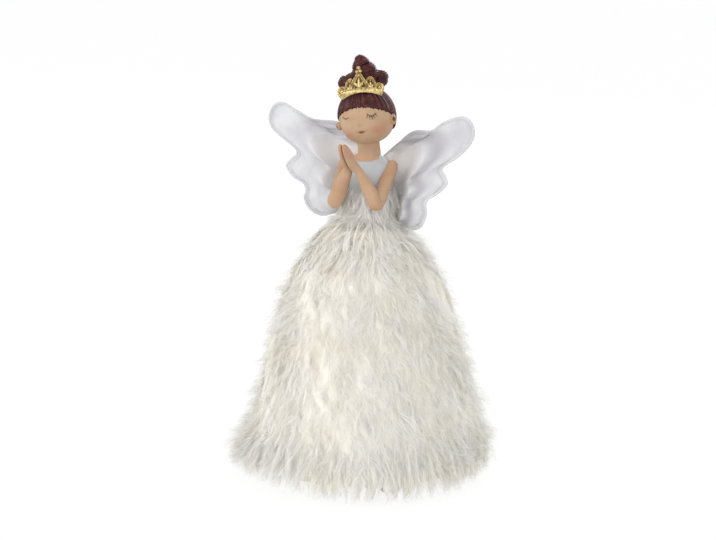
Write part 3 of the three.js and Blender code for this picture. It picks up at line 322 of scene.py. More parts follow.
# Between these heights tufts get more crowded, shorter and more raised, and fall from deeper roots.
crowded_zone_mm = (148, 158)
upper_zone_mm = (125, 165)
falling_zone_mm = (153, 164)
# Between these heights strands catch more light from above.
upturned_zone_mm = (135, 165)
# Tufts of the skirt, least and most: length, how far a single one stands out, width and curl.
tuft_length_mm = (9, 18)
tuft_flare_mm = (3, 7)
tuft_spread_mm = (1.2, 2.8)
tuft_curl_mm = (0.5, 2.3)
# How far tufts lean out and sideways: mean and scatter, and the slow change from place to place.
tuft_lean_mm, field_lean_mm = (-0.4, 0.9), 1.1
tuft_sweep_mm, field_sweep_mm = (0, 5.2), 3.5
stray_flare_mm = 6
loose_end_mm = 0.6
strand_inset_mm = 1
strand_least_mm = 4
tuft_crowding_mm = 12
turning_radius_mm = 12
hem_push_mm = 12
root_depth_mm = 3.8
root_top_depth_mm = 8
# Tufts of the skirt and of its hem: how many, strands in each, and a strand's mean width.
skirt_tufts = (1250, 13, 0.38)
wisp_tufts = (1500, 11, 0.34)
skirt_fur_pieces = 6
ground_depth_mm = 3
ground_neck_mm = 24
# The rings that close the ground under its hem and at its top: radius and height.
ground_hem_mm = np.array([(64.2, 9.6), (72.0, fur_hem_mm - 2.6)])
ground_hem_inset_mm, ground_hem_drop_mm = 10, 2.4
ground_top_mm = np.array([(22.5, waist_mm - 0.1), (16.5, waist_mm)])
# Bodice fur: heights are over the waist.
bodice_tufts = (480, 20)
bodice_low_mm = 7
bodice_run_mm = 18
bodice_length_mm = (9, 17)
bodice_floor_mm = (-3, 5)
bodice_front_rise_mm = 4.5
bodice_zone_mm = (21, 6)
bodice_width_mm = (0.2, 0.36)
bodice_out_mm, bodice_swell_mm = 0.8, 4.2
bodice_end_mm, bodice_low_end_mm = 2, 8
bodice_flare_mm = 2.2
bodice_sweep_mm = 2.6
bodice_radius_mm = 16
bodice_gap_deg = 44
bodice_ground_gap_deg = 46
bodice_ground_mm = (4, 13)
bodice_ground_out_mm = (0.4, 2.2)
bodice_backing_mm = 0.35


def linear(color, share=1):
    """The linear colour of three screen values from 0 to 255, made darker by a share."""
    levels = [value / 255 for value in color]
    levels = [level / 12.92 if level <= 0.04045 else ((level + 0.055) / 1.055) ** 2.4 for level in levels]
    return tuple(level * share for level in levels) + (1,)


def smooth(low, high, value):
    share = np.clip((value - low) / (high - low), 0, 1)
    return share * share * (3 - 2 * share)


def bump_at(value, center, width):
    return np.exp(-((value - center) / width) ** 2)


def spot(x, z, place, reach):
    return np.exp(-((x - place[0]) / reach[0]) ** 2 - ((z - place[1]) / reach[1]) ** 2)


def dome(value):
    """The height of a half circle, 1 in its middle and 0 beyond its ends at -1 and 1."""
    return np.sqrt(np.clip(1 - value ** 2, 0, 1))


def unit(vectors):
    return vectors / np.maximum(np.linalg.norm(vectors, axis=-1, keepdims=True), 1e-12)


def turns(count):
    return np.arange(count) / count * FULL_TURN


def wrapped(turn):
    """The same turn, between half a turn back and half a turn on."""
    return (turn + math.pi) % FULL_TURN - math.pi


def around_axis(radius, turn, z):
    """Points round the upright axis; turn 0 is the front."""
    radius, turn, z = np.broadcast_arrays(radius, turn, z)
    return np.stack([radius * np.sin(turn), -radius * np.cos(turn), z], axis=-1)


# Materials


def put(tree, socket, value):
    """Sets a socket to a number or a colour, or links a node's output to it."""
    if isinstance(value, bpy.types.NodeSocket):
        tree.links.new(value, socket)
    else:
        socket.default_value = value


def set_inputs(tree, node, inputs):
    """Inputs are named as the node's sockets are, in lower case with underscores."""
    for name, value in inputs.items():
        put(tree, node.inputs[name.replace("_", " ").title().replace("Ior", "IOR")], value)


def add_node(tree, kind, **inputs):
    made = tree.nodes.new(kind)
    set_inputs(tree, made, inputs)
    return made


def add_math(tree, operation, first, second):
    made = tree.nodes.new("ShaderNodeMath")
    made.operation = operation
    put(tree, made.inputs[0], first)
    put(tree, made.inputs[1], second)
    return made.outputs["Value"]


def blend_shaders(tree, share, first, second, output="Material Output"):
    both = tree.nodes.new("ShaderNodeMixShader")
    for socket, value in zip(both.inputs, (share, first.outputs[0], second.outputs[0])):
        put(tree, socket, value)
    tree.links.new(both.outputs[0], tree.nodes[output].inputs["Surface"])


class Look:
    """A node material being built: its shader, its tree and short ways to add nodes."""

    def __init__(self, name, **sockets):
        self.material = bpy.data.materials.new(name)
        self.material.use_nodes = True
        self.tree = self.material.node_tree
        self.shader = self.tree.nodes["Principled BSDF"]
        set_inputs(self.tree, self.shader, sockets)

    def node(self, kind, **inputs):
        return add_node(self.tree, kind, **inputs)

    def texture(self, kind, size_mm, stretch=(1, 1, 1), **inputs):
        """A pattern of the given size; a stretch under 1 draws it out along an axis."""
        place = self.node("ShaderNodeTexCoord").outputs["Object"]
        place = self.node("ShaderNodeMapping", vector=place, scale=stretch).outputs["Vector"]
        return self.node(kind, vector=place, scale=1 / (size_mm * MM), **inputs).outputs["Fac"]

    def noise(self, size_mm, detail=3, **options):
        return self.texture("ShaderNodeTexNoise", size_mm, detail=detail, **options)

    def attribute(self, name):
        made = self.node("ShaderNodeAttribute")
        made.attribute_name = name
        return made.outputs["Fac"]

    def spread(self, value, low, high):
        """0 where the value is low and 1 where it is high."""
        return self.node("ShaderNodeMapRange", value=value, from_min=low, from_max=high).outputs["Result"]

    def scaled(self, value, low, high):
        """The low number where the value is 0 and the high one where it is 1."""
        return self.node("ShaderNodeMapRange", value=value, to_min=low, to_max=high).outputs["Result"]

    def mix(self, share, first, second):
        """The first colour blends into the second; a colour is three screen values or a node's output."""
        made = self.node("ShaderNodeMix")
        made.data_type = "RGBA"
        put(self.tree, made.inputs[0], share)
        for index, color in ((6, first), (7, second)):
            screen = isinstance(color, tuple) and len(color) == 3
            put(self.tree, made.inputs[index], linear(color) if screen else color)
        return made.outputs[2]

    def tones(self, first, second, size_mm, edges=None, **options):
        """Two colours in patches; edges are the two levels of the noise between which they blend."""
        patches = self.noise(size_mm, **options)
        return self.mix(self.spread(patches, *edges) if edges else patches, first, second)

    def over(self, base, name, color):
        """A colour laid over the base where the mesh's own number of that name is 1."""
        return self.mix(self.attribute(name), base, color)

    def color(self, value):
        self.tree.links.new(value, self.shader.inputs["Base Color"])

    def uneven_roughness(self, size_mm, low, high, **options):
        value = self.scaled(self.noise(size_mm, **options), low, high)
        self.tree.links.new(value, self.shader.inputs["Roughness"])

    def bump(self, height, depth_mm):
        made = self.node("ShaderNodeBump", height=height, strength=1, distance=depth_mm * MM)
        self.tree.links.new(made.outputs["Normal"], self.shader.inputs["Normal"])

    def grain(self, size_mm, depth_mm, detail=2):
        self.bump(self.noise(size_mm, detail), depth_mm)


def plain_look(name, first, second, size_mm, **sockets):
    """Two colours in soft patches."""
    look = Look(name, **sockets)
    look.color(look.tones(first, second, size_mm))
    return look


def fur_look():
    """Pale fibres that let light through."""
    look = Look("fur_fibres", roughness=0.7, specular_ior_level=0.2)
    warm = look.tones((254, 253, 250), (252, 249, 240), size_mm=24, edges=(0.42, 0.66))
    cool = look.tones(warm, (250, 247, 239), size_mm=8, edges=(0.5, 0.74), stretch=(1, 1, 0.4))
    # Painted shade: the strands are greyer towards their roots, deep in the pile.
    root_shade = look.over(look.mix(0.5, cool, (246, 241, 229)), "along", cool)
    color = look.mix(look.scaled(look.attribute("strand"), 0, 0.6), root_shade, (254, 254, 253))
    look.color(color)
    blend_shaders(look.tree, 0.4, look.shader, look.node("ShaderNodeBsdfTranslucent", color=color))
    return look.material


def grained_look(name, first, second, size_mm, depth_mm, detail=5, stretch=1, **sockets):
    """Two colours along the same upright grain as the bump."""
    look = Look(name, **sockets)
    grain = look.noise(size_mm, detail, stretch=(1, 1, stretch))
    look.color(look.mix(grain, first, second))
    look.bump(grain, depth_mm)
    return look.material


def fur_base_look():
    return grained_look("fur_backing", (238, 233, 220), (249, 247, 241), size_mm=1.4, depth_mm=0.8,
                        stretch=0.12, roughness=0.95, specular_ior_level=0.1)


def skin_look():
    look = Look("painted_skin", roughness=0.42, specular_ior_level=0.45, subsurface_weight=0.06,
                subsurface_radius=(1, 0.35, 0.2), subsurface_scale=2 * MM)
    color = look.tones((190, 160, 129), (180, 146, 113), size_mm=11, edges=(0.35, 0.7))
    # The third paint is painted shade: dark brown in the ear's hollow.
    paints = {"blush": (180, 112, 92), "lips": (128, 66, 36), "deep": (84, 38, 26)}
    for name, paint in paints.items():
        color = look.over(color, name, paint)
    look.color(color)
    look.uneven_roughness(size_mm=0.9, low=0.36, high=0.5)
    look.grain(size_mm=0.7, depth_mm=0.05)
    return look.material


def bodice_look():
    look = Look("painted_bodice", roughness=0.45)
    cloth = look.tones((188, 190, 191), (175, 178, 180), size_mm=6)
    skin = look.tones((196, 160, 124), (186, 146, 108), size_mm=9)
    look.color(look.over(cloth, "skin", skin))
    look.grain(size_mm=0.8, depth_mm=0.06)
    return look.material


def hair_look():
    look = Look("painted_hair", roughness=0.4, specular_ior_level=0.22)
    dark = look.tones((62, 22, 24), (82, 30, 31), size_mm=5)
    # The paler patches over the dark are painted highlights. The near black where the number groove is 0 is
    # painted shade in the creases.
    wear_and_highlights = look.tones(dark, (122, 66, 62), size_mm=2.2, edges=(0.5, 0.75))
    look.color(look.over((30, 12, 16), "groove", wear_and_highlights))
    look.uneven_roughness(size_mm=1.1, low=0.34, high=0.52)
    look.grain(size_mm=0.5, depth_mm=0.06, detail=3)
    return look.material


def lash_look():
    return plain_look("painted_lashes", (44, 28, 20), (62, 42, 30), size_mm=0.8, roughness=0.5).material


def gold_look():
    look = Look("gold_paint_and_hollow_shade", roughness=0.32, metallic=0.75)
    wear_and_highlights = look.tones((214, 193, 140), (160, 134, 78), size_mm=1.6, edges=(0.4, 0.62), detail=4)
    # Painted shade: dark olive where the number recess is 1, in the sunk hollows inside the arches and
    # partly over the back face.
    look.color(look.over(wear_and_highlights, "recess", (78, 62, 24)))
    look.uneven_roughness(size_mm=0.6, low=0.28, high=0.46)
    look.grain(size_mm=0.4, depth_mm=0.05, detail=3)
    return look.material


def silver_look():
    look = plain_look("silver_beads", (214, 218, 226), (170, 176, 190), 0.8, roughness=0.22, metallic=0.9)
    return look.material


def satin_look():
    look = Look("white_satin", roughness=0.5, specular_ior_level=0.35, sheen_weight=0.25,
                sheen_roughness=0.4)
    weave = look.texture("ShaderNodeTexWave", size_mm=1.3, stretch=(1, 1, 3), distortion=1.5, detail=2)
    soft = look.tones((221, 221, 223), (207, 207, 211), size_mm=13, edges=(0.35, 0.65))
    # Painted light: paler near the wing's root, where the number near is 1. Painted shade: grey where the
    # number fold is 1.
    bright = look.over(soft, "near", (254, 252, 251))
    look.color(look.over(bright, "fold", (180, 178, 183)))
    look.uneven_roughness(size_mm=2, low=0.42, high=0.6)
    faint = add_math(look.tree, "MULTIPLY", weave, 0.15)
    look.bump(add_math(look.tree, "ADD", faint, look.noise(size_mm=4, detail=4)), depth_mm=0.35)
    return look.material


def thread_look():
    return plain_look("satin_thread", (204, 203, 208), (192, 191, 197), size_mm=1, roughness=0.6).material


def felt_look():
    return grained_look("white_felt", (224, 223, 220), (244, 243, 240), size_mm=0.5, depth_mm=0.2, detail=6,
                        roughness=1)


def moulded_look(name, color, grain_mm=0.5, roughness=0.5):
    look = Look(name, roughness=roughness)
    look.color(look.tones(color, linear(color, 0.86), size_mm=14, edges=(0.35, 0.75), detail=5))
    look.uneven_roughness(size_mm=3, low=roughness * 0.85, high=min(roughness * 1.2, 1))
    look.grain(grain_mm, depth_mm=0.03)
    return look.material


def metal_look(name, color, roughness=0.3):
    look = Look(name, metallic=1.0)
    look.color(look.tones(color, linear(color, 0.7), size_mm=3, edges=(0.4, 0.7), detail=5))
    look.uneven_roughness(size_mm=0.5, low=roughness * 0.7, high=roughness * 1.4, stretch=(1, 6, 6))
    return look.material


def wood_look():
    return grained_look("dowel_wood", (176, 138, 92), (216, 184, 138), size_mm=1.2, depth_mm=0.1,
                        stretch=0.08, roughness=0.7)


def lens_look():
    look = plain_look("led_lens", (255, 248, 226), (250, 240, 208), 2, roughness=0.12, ior=1.5,
                      transmission_weight=0.85)
    return look.material


def resistor_look():
    look = Look("resistor_coat", roughness=0.5)
    bands = look.spread(look.texture("ShaderNodeTexWave", size_mm=9), 0.8, 0.86)
    look.color(look.mix(bands, (208, 186, 146), (128, 56, 36)))
    return look.material


def cell_look():
    look = plain_look("cell_sleeve", (62, 66, 72), (50, 54, 60), size_mm=8, roughness=0.35, metallic=0.2)
    look.uneven_roughness(size_mm=2, low=0.28, high=0.42)
    return look.material


# Meshes


def new_object(name, data):
    made = bpy.data.objects.new(name, data)
    bpy.context.scene.collection.objects.link(made)
    return made


def piece(name, points, faces, material, attributes, replaces=None):
    """A new object from points in millimetres; attributes are per-point numbers for its material."""
    points = np.asarray(points, dtype=np.float64).reshape(-1, 3)
    faces = np.asarray(faces, dtype=np.int32)
    mesh = bpy.data.meshes.new(name)
    mesh.vertices.add(len(points))
    mesh.vertices.foreach_set("co", (points * MM).ravel())
    mesh.loops.add(faces.size)
    mesh.loops.foreach_set("vertex_index", faces.ravel())
    mesh.polygons.add(len(faces))
    mesh.polygons.foreach_set("loop_start", np.arange(0, faces.size, faces.shape[1], dtype=np.int32))
    mesh.polygons.foreach_set("use_smooth", np.full(len(faces), True))
    mesh.update(calc_edges=True)
    for key, values in attributes.items():
        layer = mesh.attributes.new(key, "FLOAT", "POINT")
        layer.data.foreach_set("value", np.asarray(values, dtype=np.float32).ravel())
    mesh.materials.append(material)
    made = new_object(name, mesh)
    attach(made, "figure")
    if replaces:
        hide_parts(replaces)
    return made


class Parts:
    """Gathers several surfaces, each a grid of points, into one mesh; names are its per-point numbers."""

    def __init__(self, *names):
        self.points = []
        self.faces = []
        self.count = 0
        self.values = {name: [] for name in names}

    def grid(self, points, around=True, **values):
        """Adds points[row, column]; around joins the last column to the first."""
        rows, columns = points.shape[:2]
        self.points.append(points.reshape(-1, 3))
        self.faces.append(grid_faces(rows, columns, around) + self.count)
        self.count += rows * columns
        for name, gathered in self.values.items():
            value = np.asarray(values.get(name, 0.0), dtype=float).ravel()
            gathered.append(np.broadcast_to(value, (rows * columns,)))

    def make(self, name, material, replaces=None):
        attributes = {key: np.concatenate(value) for key, value in self.values.items()}
        points = np.concatenate(self.points)
        return piece(name, points, np.concatenate(self.faces), material, attributes, replaces)


def grid_faces(rows, columns, around):
    row = np.arange(rows - 1)[:, None] * columns
    column = np.arange(columns if around else columns - 1)[None, :]
    next_column = (column + 1) % columns
    corners = [row + column, row + next_column, row + columns + next_column, row + columns + column]
    return np.stack(corners, axis=-1).reshape(-1, 4)


def curve_points(controls, count):
    """Points evenly spread in parameter along a smooth curve through the controls."""
    controls = np.asarray(controls, dtype=float)
    last = len(controls) - 1
    place = np.linspace(0, last, count)
    index = np.minimum(np.floor(place).astype(int), last - 1)
    share = (place - index)[:, None]
    before, start, end, after = (controls[np.clip(index + offset, 0, last)] for offset in (-1, 0, 1, 2))
    square = 2 * before - 5 * start + 4 * end - after
    cube = 3 * start - before - 3 * end + after
    return 0.5 * (2 * start + (end - before) * share + square * share ** 2 + cube * share ** 3)


def even_points(points, count):
    """The same line with points at even distances."""
    steps = np.linalg.norm(np.diff(points, axis=0), axis=1)
    run = np.concatenate([[0], np.cumsum(steps)])
    wanted = np.linspace(0, run[-1], count)
    return np.stack([np.interp(wanted, run, points[:, axis]) for axis in range(3)], axis=1)


def rings_on(points, first_axis, other_axis, first_half, other_half, sides):
    """A ring round each point of a line, from its two axes and its half sizes along them."""
    turn = turns(sides)[None, :, None]
    return (points[:, None, :] + first_half * np.cos(turn) * first_axis[:, None, :]
            + other_half * np.sin(turn) * other_axis[:, None, :])


def rounded_tube(points, radius, sides, flat=1.0, end_share=0.05):
    """A tube along a line, rounded off at its ends; radius is one number or one per point."""
    direction = unit(np.gradient(points, axis=0))
    across = unit(np.cross(direction, np.array([0.0, 0, 1])) + 1e-9)
    other = np.cross(across, direction)
    size = np.broadcast_to(np.asarray(radius, dtype=float), (len(points),))[:, None, None]
    rings = rings_on(points, across, other, size, size * flat, sides)
    first = points[0] + (rings[:1] - points[0]) * end_share
    last = points[-1] + (rings[-1:] - points[-1]) * end_share
    return np.concatenate([first, rings, last], axis=0)


def ball(rows, columns, half=1, center=0):
    polar = np.linspace(pole_gap, math.pi - pole_gap, rows)[:, None]
    turn = turns(columns)[None, :]
    shape = np.stack([np.sin(polar) * np.cos(turn), np.sin(polar) * np.sin(turn),
                      np.cos(polar) * np.ones_like(turn)], axis=-1)
    return np.asarray(center) + shape * np.asarray(half)


# Head


def in_head(points):
    """Points in the head's own frame, moved to their place on the part."""
    return np.asarray(points) @ np.array(head_turn).T + head_center_mm


def head_radius_at(directions):
    """Surface of the bald head along unit directions, in the head's frame; the jaw is a little fuller."""
    scaled = directions / head_half_mm
    level = np.hypot(scaled[..., 0], scaled[..., 1])
    power = np.where(scaled[..., 2] < 0, jaw_power, 2)
    return (level ** power + np.abs(scaled[..., 2]) ** power) ** (-1 / power)


def head_point(x, z, out):
    """A point on the front of the face, from its place across and up, pushed out along the surface."""
    power = np.where(z < 0, jaw_power, 2)
    level = (1 - np.clip(np.abs(z) / head_half_mm[2], 0, 1) ** power) ** (1 / power)
    y = -head_half_mm[1] * np.sqrt(np.maximum(level ** 2 - (x / head_half_mm[0]) ** 2, 0))
    point = np.stack([x, y, z], axis=-1)
    return point + unit(point) * (face_relief(point) + out)[..., None]


def face_relief(points):
    """How far the nose, lips, lids and cheeks stand out."""
    x, y, z = np.moveaxis(points, -1, 0)
    swells = list(face_swells_mm)
    for side, ((in_x, in_z), (out_x, out_z), sag) in lids_mm.items():
        middle = ((in_x + out_x) / 2, (in_z + out_z) / 2 - sag + lid_swell_above_mm)
        swells += [(middle, lid_swell_mm, lid_rise_mm), (cheeks_mm[side], cheek_swell_mm, cheek_rise_mm)]
    relief = sum(rise * spot(x, z, place, reach) for place, reach, rise in swells)
    return relief * smooth(*face_front_mm, -y)


def lip_paint(x, z):
    """1 on the lips and less along the line between them."""
    aside = np.abs(x - mouth_place_mm[0])
    curl = z - mouth_place_mm[1] - lip_curl * aside ** 2
    thick = (lip_half_mm - lip_taper * aside).clip(lip_least_mm)
    full = np.exp(-((aside / mouth_half_mm) ** 3) - (np.abs(curl) / thick) ** 3)
    line = np.exp(-((aside / mouth_line_half_mm) ** 4) - (curl / lip_line_mm) ** 2)
    return (full + 0.4 * line).clip(0, 1)


def make_head(material):
    parts = Parts("blush", "lips", "deep")
    polar = np.linspace(2 * pole_gap, math.pi - 2 * pole_gap, 150)[:, None]
    direction = around_axis(np.sin(polar), turns(220)[None, :], np.cos(polar))
    points = direction * head_radius_at(direction)[..., None]
    x, y, z = np.moveaxis(points, -1, 0)
    front = smooth(*paint_front_mm, -y)
    blush = sum(spot(x, z, place, blush_reach_mm) for place in cheeks_mm.values())
    blush = blush + 0.2 * spot(x, z, (0, nose_place_mm[1]), nose_blush_reach_mm)
    points = points + face_relief(points)[..., None] * direction
    parts.grid(in_head(points), blush=0.6 * blush * front, lips=lip_paint(x, z) * front)
    for side in (-1, 1):
        points, hollow = ear_points(side)
        # The ear's hollow gets painted shade.
        parts.grid(in_head(points), blush=0.25, deep=smooth(0.3, 0.6, hollow))
    parts.grid(neck_points(), blush=0.06)
    parts.make("head_casting", material, "head")


def ear_points(side):
    """An ear with its rim and its hollow, and how deep each point lies in the hollow."""
    out, back, up = np.moveaxis(ball(26, 28), -1, 0)
    out = out * side
    hollow = bump_at(up, 0, 0.5) * bump_at(back, -0.45, 0.5) * smooth(-0.4, 0.4, out)
    rim = 1 + 0.12 * smooth(0.5, 1, np.hypot(back, up))
    place_y, place_z, size = ears_mm[side]
    half_out, half_back, half_up = ear_half_mm
    x = side * (head_half_mm[0] + half_out * (out - 0.5 * hollow)) - ear_inset_mm
    y = place_y + half_back * size * back * rim * (1 - 0.25 * (up < 0) * -up)
    z = place_z + half_up * size * up * rim
    return np.stack([x, y, z], axis=-1), hollow


def neck_points():
    share = np.linspace(0, 1, 30)[:, None]
    turn = turns(40)[None, :]
    radius = neck_radius_mm + neck_foot_mm * (1 - share) ** 4 + neck_top_mm * share
    middle_y = torso_setback_mm - neck_lean_mm * smooth(0.3, 1, share)
    z = shoulder_line_mm - neck_sunk_mm + share * neck_height_mm
    return np.stack([
        neck_aside_mm + radius * np.cos(turn), middle_y + radius * np.sin(turn), z * np.ones_like(turn),
    ], axis=-1)


def lid_place(side, along):
    """A place on a closed lid's line; along runs from -1 at its inner end to 1 at its outer end."""
    (in_x, in_z), (out_x, out_z), sag = lids_mm[side]
    curve = 1 - along ** 2 if side > 0 else 1 - np.abs(along)
    return in_x + (out_x - in_x) * (along + 1) / 2, in_z + (out_z - in_z) * (along + 1) / 2 - sag * curve


def make_face_paint(material):
    """The lines of the closed lids, and the lashes of the lid that shows them, laid on the face."""
    parts = Parts()
    for side in lids_mm:
        along = np.linspace(-1, 1, 17)
        line = head_point(*lid_place(side, along), lid_line_lift_mm)
        half = lid_line_half_mm[side] * (1 - 0.5 * along ** 2)
        parts.grid(in_head(rounded_tube(line, half, 6, flat=0.5)))
        for lash in np.linspace(-0.75, 0.8, 5) if side > 0 else ():
            base_x, base_z = lid_place(side, lash)
            step = np.linspace(0, 1, 5)
            lash_x = base_x + side * lash_fan_mm * lash * step
            lash_z = base_z - (lash_fall_mm - lash_shorter_mm * abs(lash)) * step
            line = head_point(lash_x, lash_z, lash_lift_mm)
            parts.grid(in_head(rounded_tube(line, lash_half_mm * (1 - 0.45 * step), 5, flat=0.6)))
    parts.make("painted_lashes", material)


# Hair


def hair_edge(turn):
    """Height of the hair's lower edge round the head, in the head's frame; turn 0 is the front."""
    away = np.abs(wrapped(turn + math.radians(hair_turn_deg)))
    front = hair_low_mm + hair_rise_mm * np.cos(away)
    front = front + hair_fringe_mm[0] * np.sin(31 * turn + 2 * np.sin(7 * turn))
    front = front + hair_fringe_mm[1] * np.sin(67 * turn)
    behind = smooth(*(math.radians(angle) for angle in hair_behind_deg), away)
    return front * (1 - behind) + behind * hair_behind_mm


def make_hair_cap(material):
    turn = turns(420)[None, :]
    edge_polar = np.arccos(np.clip(hair_edge(turn) / (head_half_mm[2] + hair_over_mm), -1, 1))
    share = np.linspace(0.02, 1, 110)[:, None]
    polar = share * edge_polar
    direction = around_axis(np.sin(polar), turn, np.cos(polar))
    lock = 0.5 + 0.5 * np.sin(33 * turn + 3.2 * np.sin(5 * turn) + 1.8 * share * np.sin(8 * turn))
    fine = 0.5 + 0.5 * np.sin(97 * turn + 3.5 * np.sin(7 * turn) + 2 * share * np.sin(12 * turn))
    groove = (0.68 * lock ** 0.6 + 0.32 * fine) * smooth(0.05, 0.4, share)
    swell = hair_thickness_mm * (0.7 + 0.2 * np.sin(math.pi * share)) - hair_groove_mm * (1 - groove)
    roll = dome(smooth(0.93, 1, share))
    radius = head_radius_at(direction) + hair_clearance_mm + swell * (0.25 + 0.75 * roll)
    points = direction * radius[..., None]
    inner = direction[-1:] * (head_radius_at(direction[-1:]) - hair_lining_mm)[..., None]
    points = np.concatenate([points, inner], axis=0)
    # The groove number is low in the creases between locks, at the top under the bun and on the lining
    # under the edge. There the hair is painted dark as painted shade.
    shade = np.concatenate([groove, groove[-1:] * 0.3], axis=0)
    parts = Parts("groove")
    parts.grid(in_head(points), groove=0.25 + 0.75 * shade)
    parts.make("moulded_hair", material, "hair_cap")


def coil_groove(turn, climb, coil, fine):
    """0 in the creases between coils of hair and 1 on their backs, with fine strands along them."""
    wide = np.abs(np.sin(0.5 * (coil * climb - turn)))
    thin = 0.5 + 0.5 * np.sin(fine * climb - 3 * turn + 0.8 * np.sin(2 * turn))
    return 0.72 * wide ** 0.55 + 0.28 * thin


def make_bun(material):
    parts = Parts("groove")
    turn = turns(150)[None, :]
    z, middle, half = np.split(curve_points(bun_rings_mm, 150), 3, axis=1)
    groove = coil_groove(turn, z / bun_height_mm, 44, 190)
    half = half * (1.02 - 0.24 * (1 - groove))
    coil = np.stack([
        middle + half * np.cos(turn),
        bun_setback_mm + 0.85 * half * np.sin(turn),
        z + bun_slant_mm * np.cos(turn) * smooth(*bun_slant_zone_mm, z),
    ], axis=-1)
    # Low groove numbers in the creases between coils are painted shade.
    parts.grid(in_head(coil), groove=0.2 + 0.8 * groove)
    rows, columns = 70, 110
    groove = coil_groove(turns(columns)[None, :], np.linspace(0, 1, rows)[:, None], 11, 66)
    swell = 1.02 - 0.22 * (1 - groove[..., None])
    for center, half in bun_lobes_mm:
        parts.grid(in_head(ball(rows, columns, half) * swell + center), groove=0.2 + 0.8 * groove)
    parts.make("coiled_bun", material, "hair_bun")


# Crown


def crown_point(side, z, out):
    """A point on the crown: side runs from -1 to 1 along the band, z is up from its lower edge."""
    low = crown_rise_mm - crown_droop_mm * side ** 2
    seat = np.sqrt((head_half_mm[0] + hair_thickness_mm) ** 2 - low ** 2) + crown_seat_gap_mm
    flare = crown_flare_mm * side ** 2 * np.minimum(z / crown_band_mm, 1)
    radius = seat + out + flare - crown_tip_lean_mm * z / (crown_band_mm + crown_peak_mm)
    point = around_axis(radius, side * math.radians(crown_arc_deg) / 2, low + z)
    return point @ np.array(crown_seating).T


def leaf(across, up, place, lean, length, half):
    """The raised shape of one pointed leaf on the crown's face; lengths in millimetres."""
    x = across - place[0]
    z = up - place[1]
    along = (x * math.sin(lean) + z * math.cos(lean)) / length
    width = half * np.sin(math.pi * np.clip(along, 0, 1)) ** 0.8 + 1e-6
    beside = (x * math.cos(lean) - z * math.sin(lean)) / width
    return dome(beside) * (along > 0) * (along < 1)


def bead(across, up, place, size):
    return dome(np.hypot(across - place[0], up - place[1]) / size)


def crown_arch(side, across, arch):
    """An arch's upper edge along the band, how steep it is there, and where it stands."""
    middle, half, height = arch
    beside = np.clip(np.abs(side - middle) / half, 0, 1)
    pointed = (1 - beside) ** 1.35
    rounded = (1 - beside ** 2.6) ** 0.6
    rise = crown_band_mm + height * (pointed if height > crown_band_mm * 3 else rounded)
    slope = np.gradient(rise[:, 0], across[:, 0])[:, None]
    return rise, np.sqrt(1 + np.minimum(np.abs(slope), 4) ** 2), beside < 1


def crown_ornament(across, up):
    """Three leaves and a bead in each arch."""
    shapes = np.zeros_like(up)
    for middle, _, height in crown_arches:
        foot = (middle * crown_half_mm, crown_band_mm - crown_leaf_sunk_mm)
        for lean, share in crown_leaf_shares:
            shapes = np.maximum(shapes, leaf(across, up, foot, lean, height * share, 0.14 * height ** 0.8))
        place = (foot[0], crown_band_mm + height * 0.64)
        shapes = np.maximum(shapes, bead(across, up, place, 0.1 * height ** 0.8))
    return shapes


def crown_surface():
    """The crown's face: how far along, up and out each point is, and how much painted shade lies in its
    hollows.
    """
    side = np.linspace(-1, 1, 321)[:, None]
    across = side * crown_half_mm
    arches = [crown_arch(side, across, arch) for arch in crown_arches]
    up = np.linspace(0, 1, 90)[None, :] * np.max([rise for rise, _, _ in arches], axis=0)
    relief = np.zeros_like(up)
    hollow = np.zeros_like(up)
    for rise, stretch, within in arches:
        inside = (rise - up) / stretch
        border = sum(height * bump_at(inside, inset, half) for inset, half, height in crown_borders)
        shown = within * (up > crown_band_mm - crown_overlap_mm)
        relief = np.maximum(relief, crown_border_rise_mm * border * shown)
        hollow = np.maximum(hollow, smooth(*crown_hollow_mm, inside) * shown)
    band = band_rise_mm * dome((up - band_middle_mm) / band_half_mm)
    band = band + band_edge_rise_mm * bump_at(up, crown_band_mm, band_edge_half_mm)
    end = smooth(*crown_end_shares, np.abs(side)) * crown_end_rise_mm
    for shape in (crown_leaf_rise_mm * crown_ornament(across, up), band, end):
        relief = np.maximum(relief, shape)
    # How much painted shade darkens each hollow: less where a leaf, border or bead stands up, and none at
    # the band's ends.
    recess = hollow * (1 - np.clip(relief / crown_sunk_mm, 0, 1)) * (1 - smooth(0.9, 0.93, np.abs(side)))
    return side, up, relief, recess


def make_crown(material):
    """A cast tiara: a plain band, five arches with double borders, leaves and beads in their hollows."""
    side, up, relief, recess = crown_surface()
    front = crown_point(side, up, crown_wall_mm - crown_ground_mm + relief)
    back = crown_point(side, up[:, ::-6], 0.0)
    plate = np.concatenate([front, back], axis=1)
    # The back face gets a share of the same painted shade.
    shade = np.concatenate([recess, 0.4 * np.ones(back.shape[:2])], axis=1)
    middle = plate.mean(axis=1, keepdims=True)
    first, last = (middle[[row]] + (plate[[row]] - middle[[row]]) * 0.02 for row in (0, -1))
    parts = Parts("recess")
    shade = np.concatenate([shade[:1], shade, shade[-1:]])
    parts.grid(in_head(np.concatenate([first, plate, last])), recess=shade)
    for place, over, size in crown_balls:
        height = crown_band_mm + crown_peak_mm + over
        center = crown_point(place, height, crown_wall_mm / 2 + crown_ball_lift_mm)
        parts.grid(in_head(ball(14, 20, size, center)))
    parts.make("filigree_crown", material, "crown")


# Torso, belt and arms


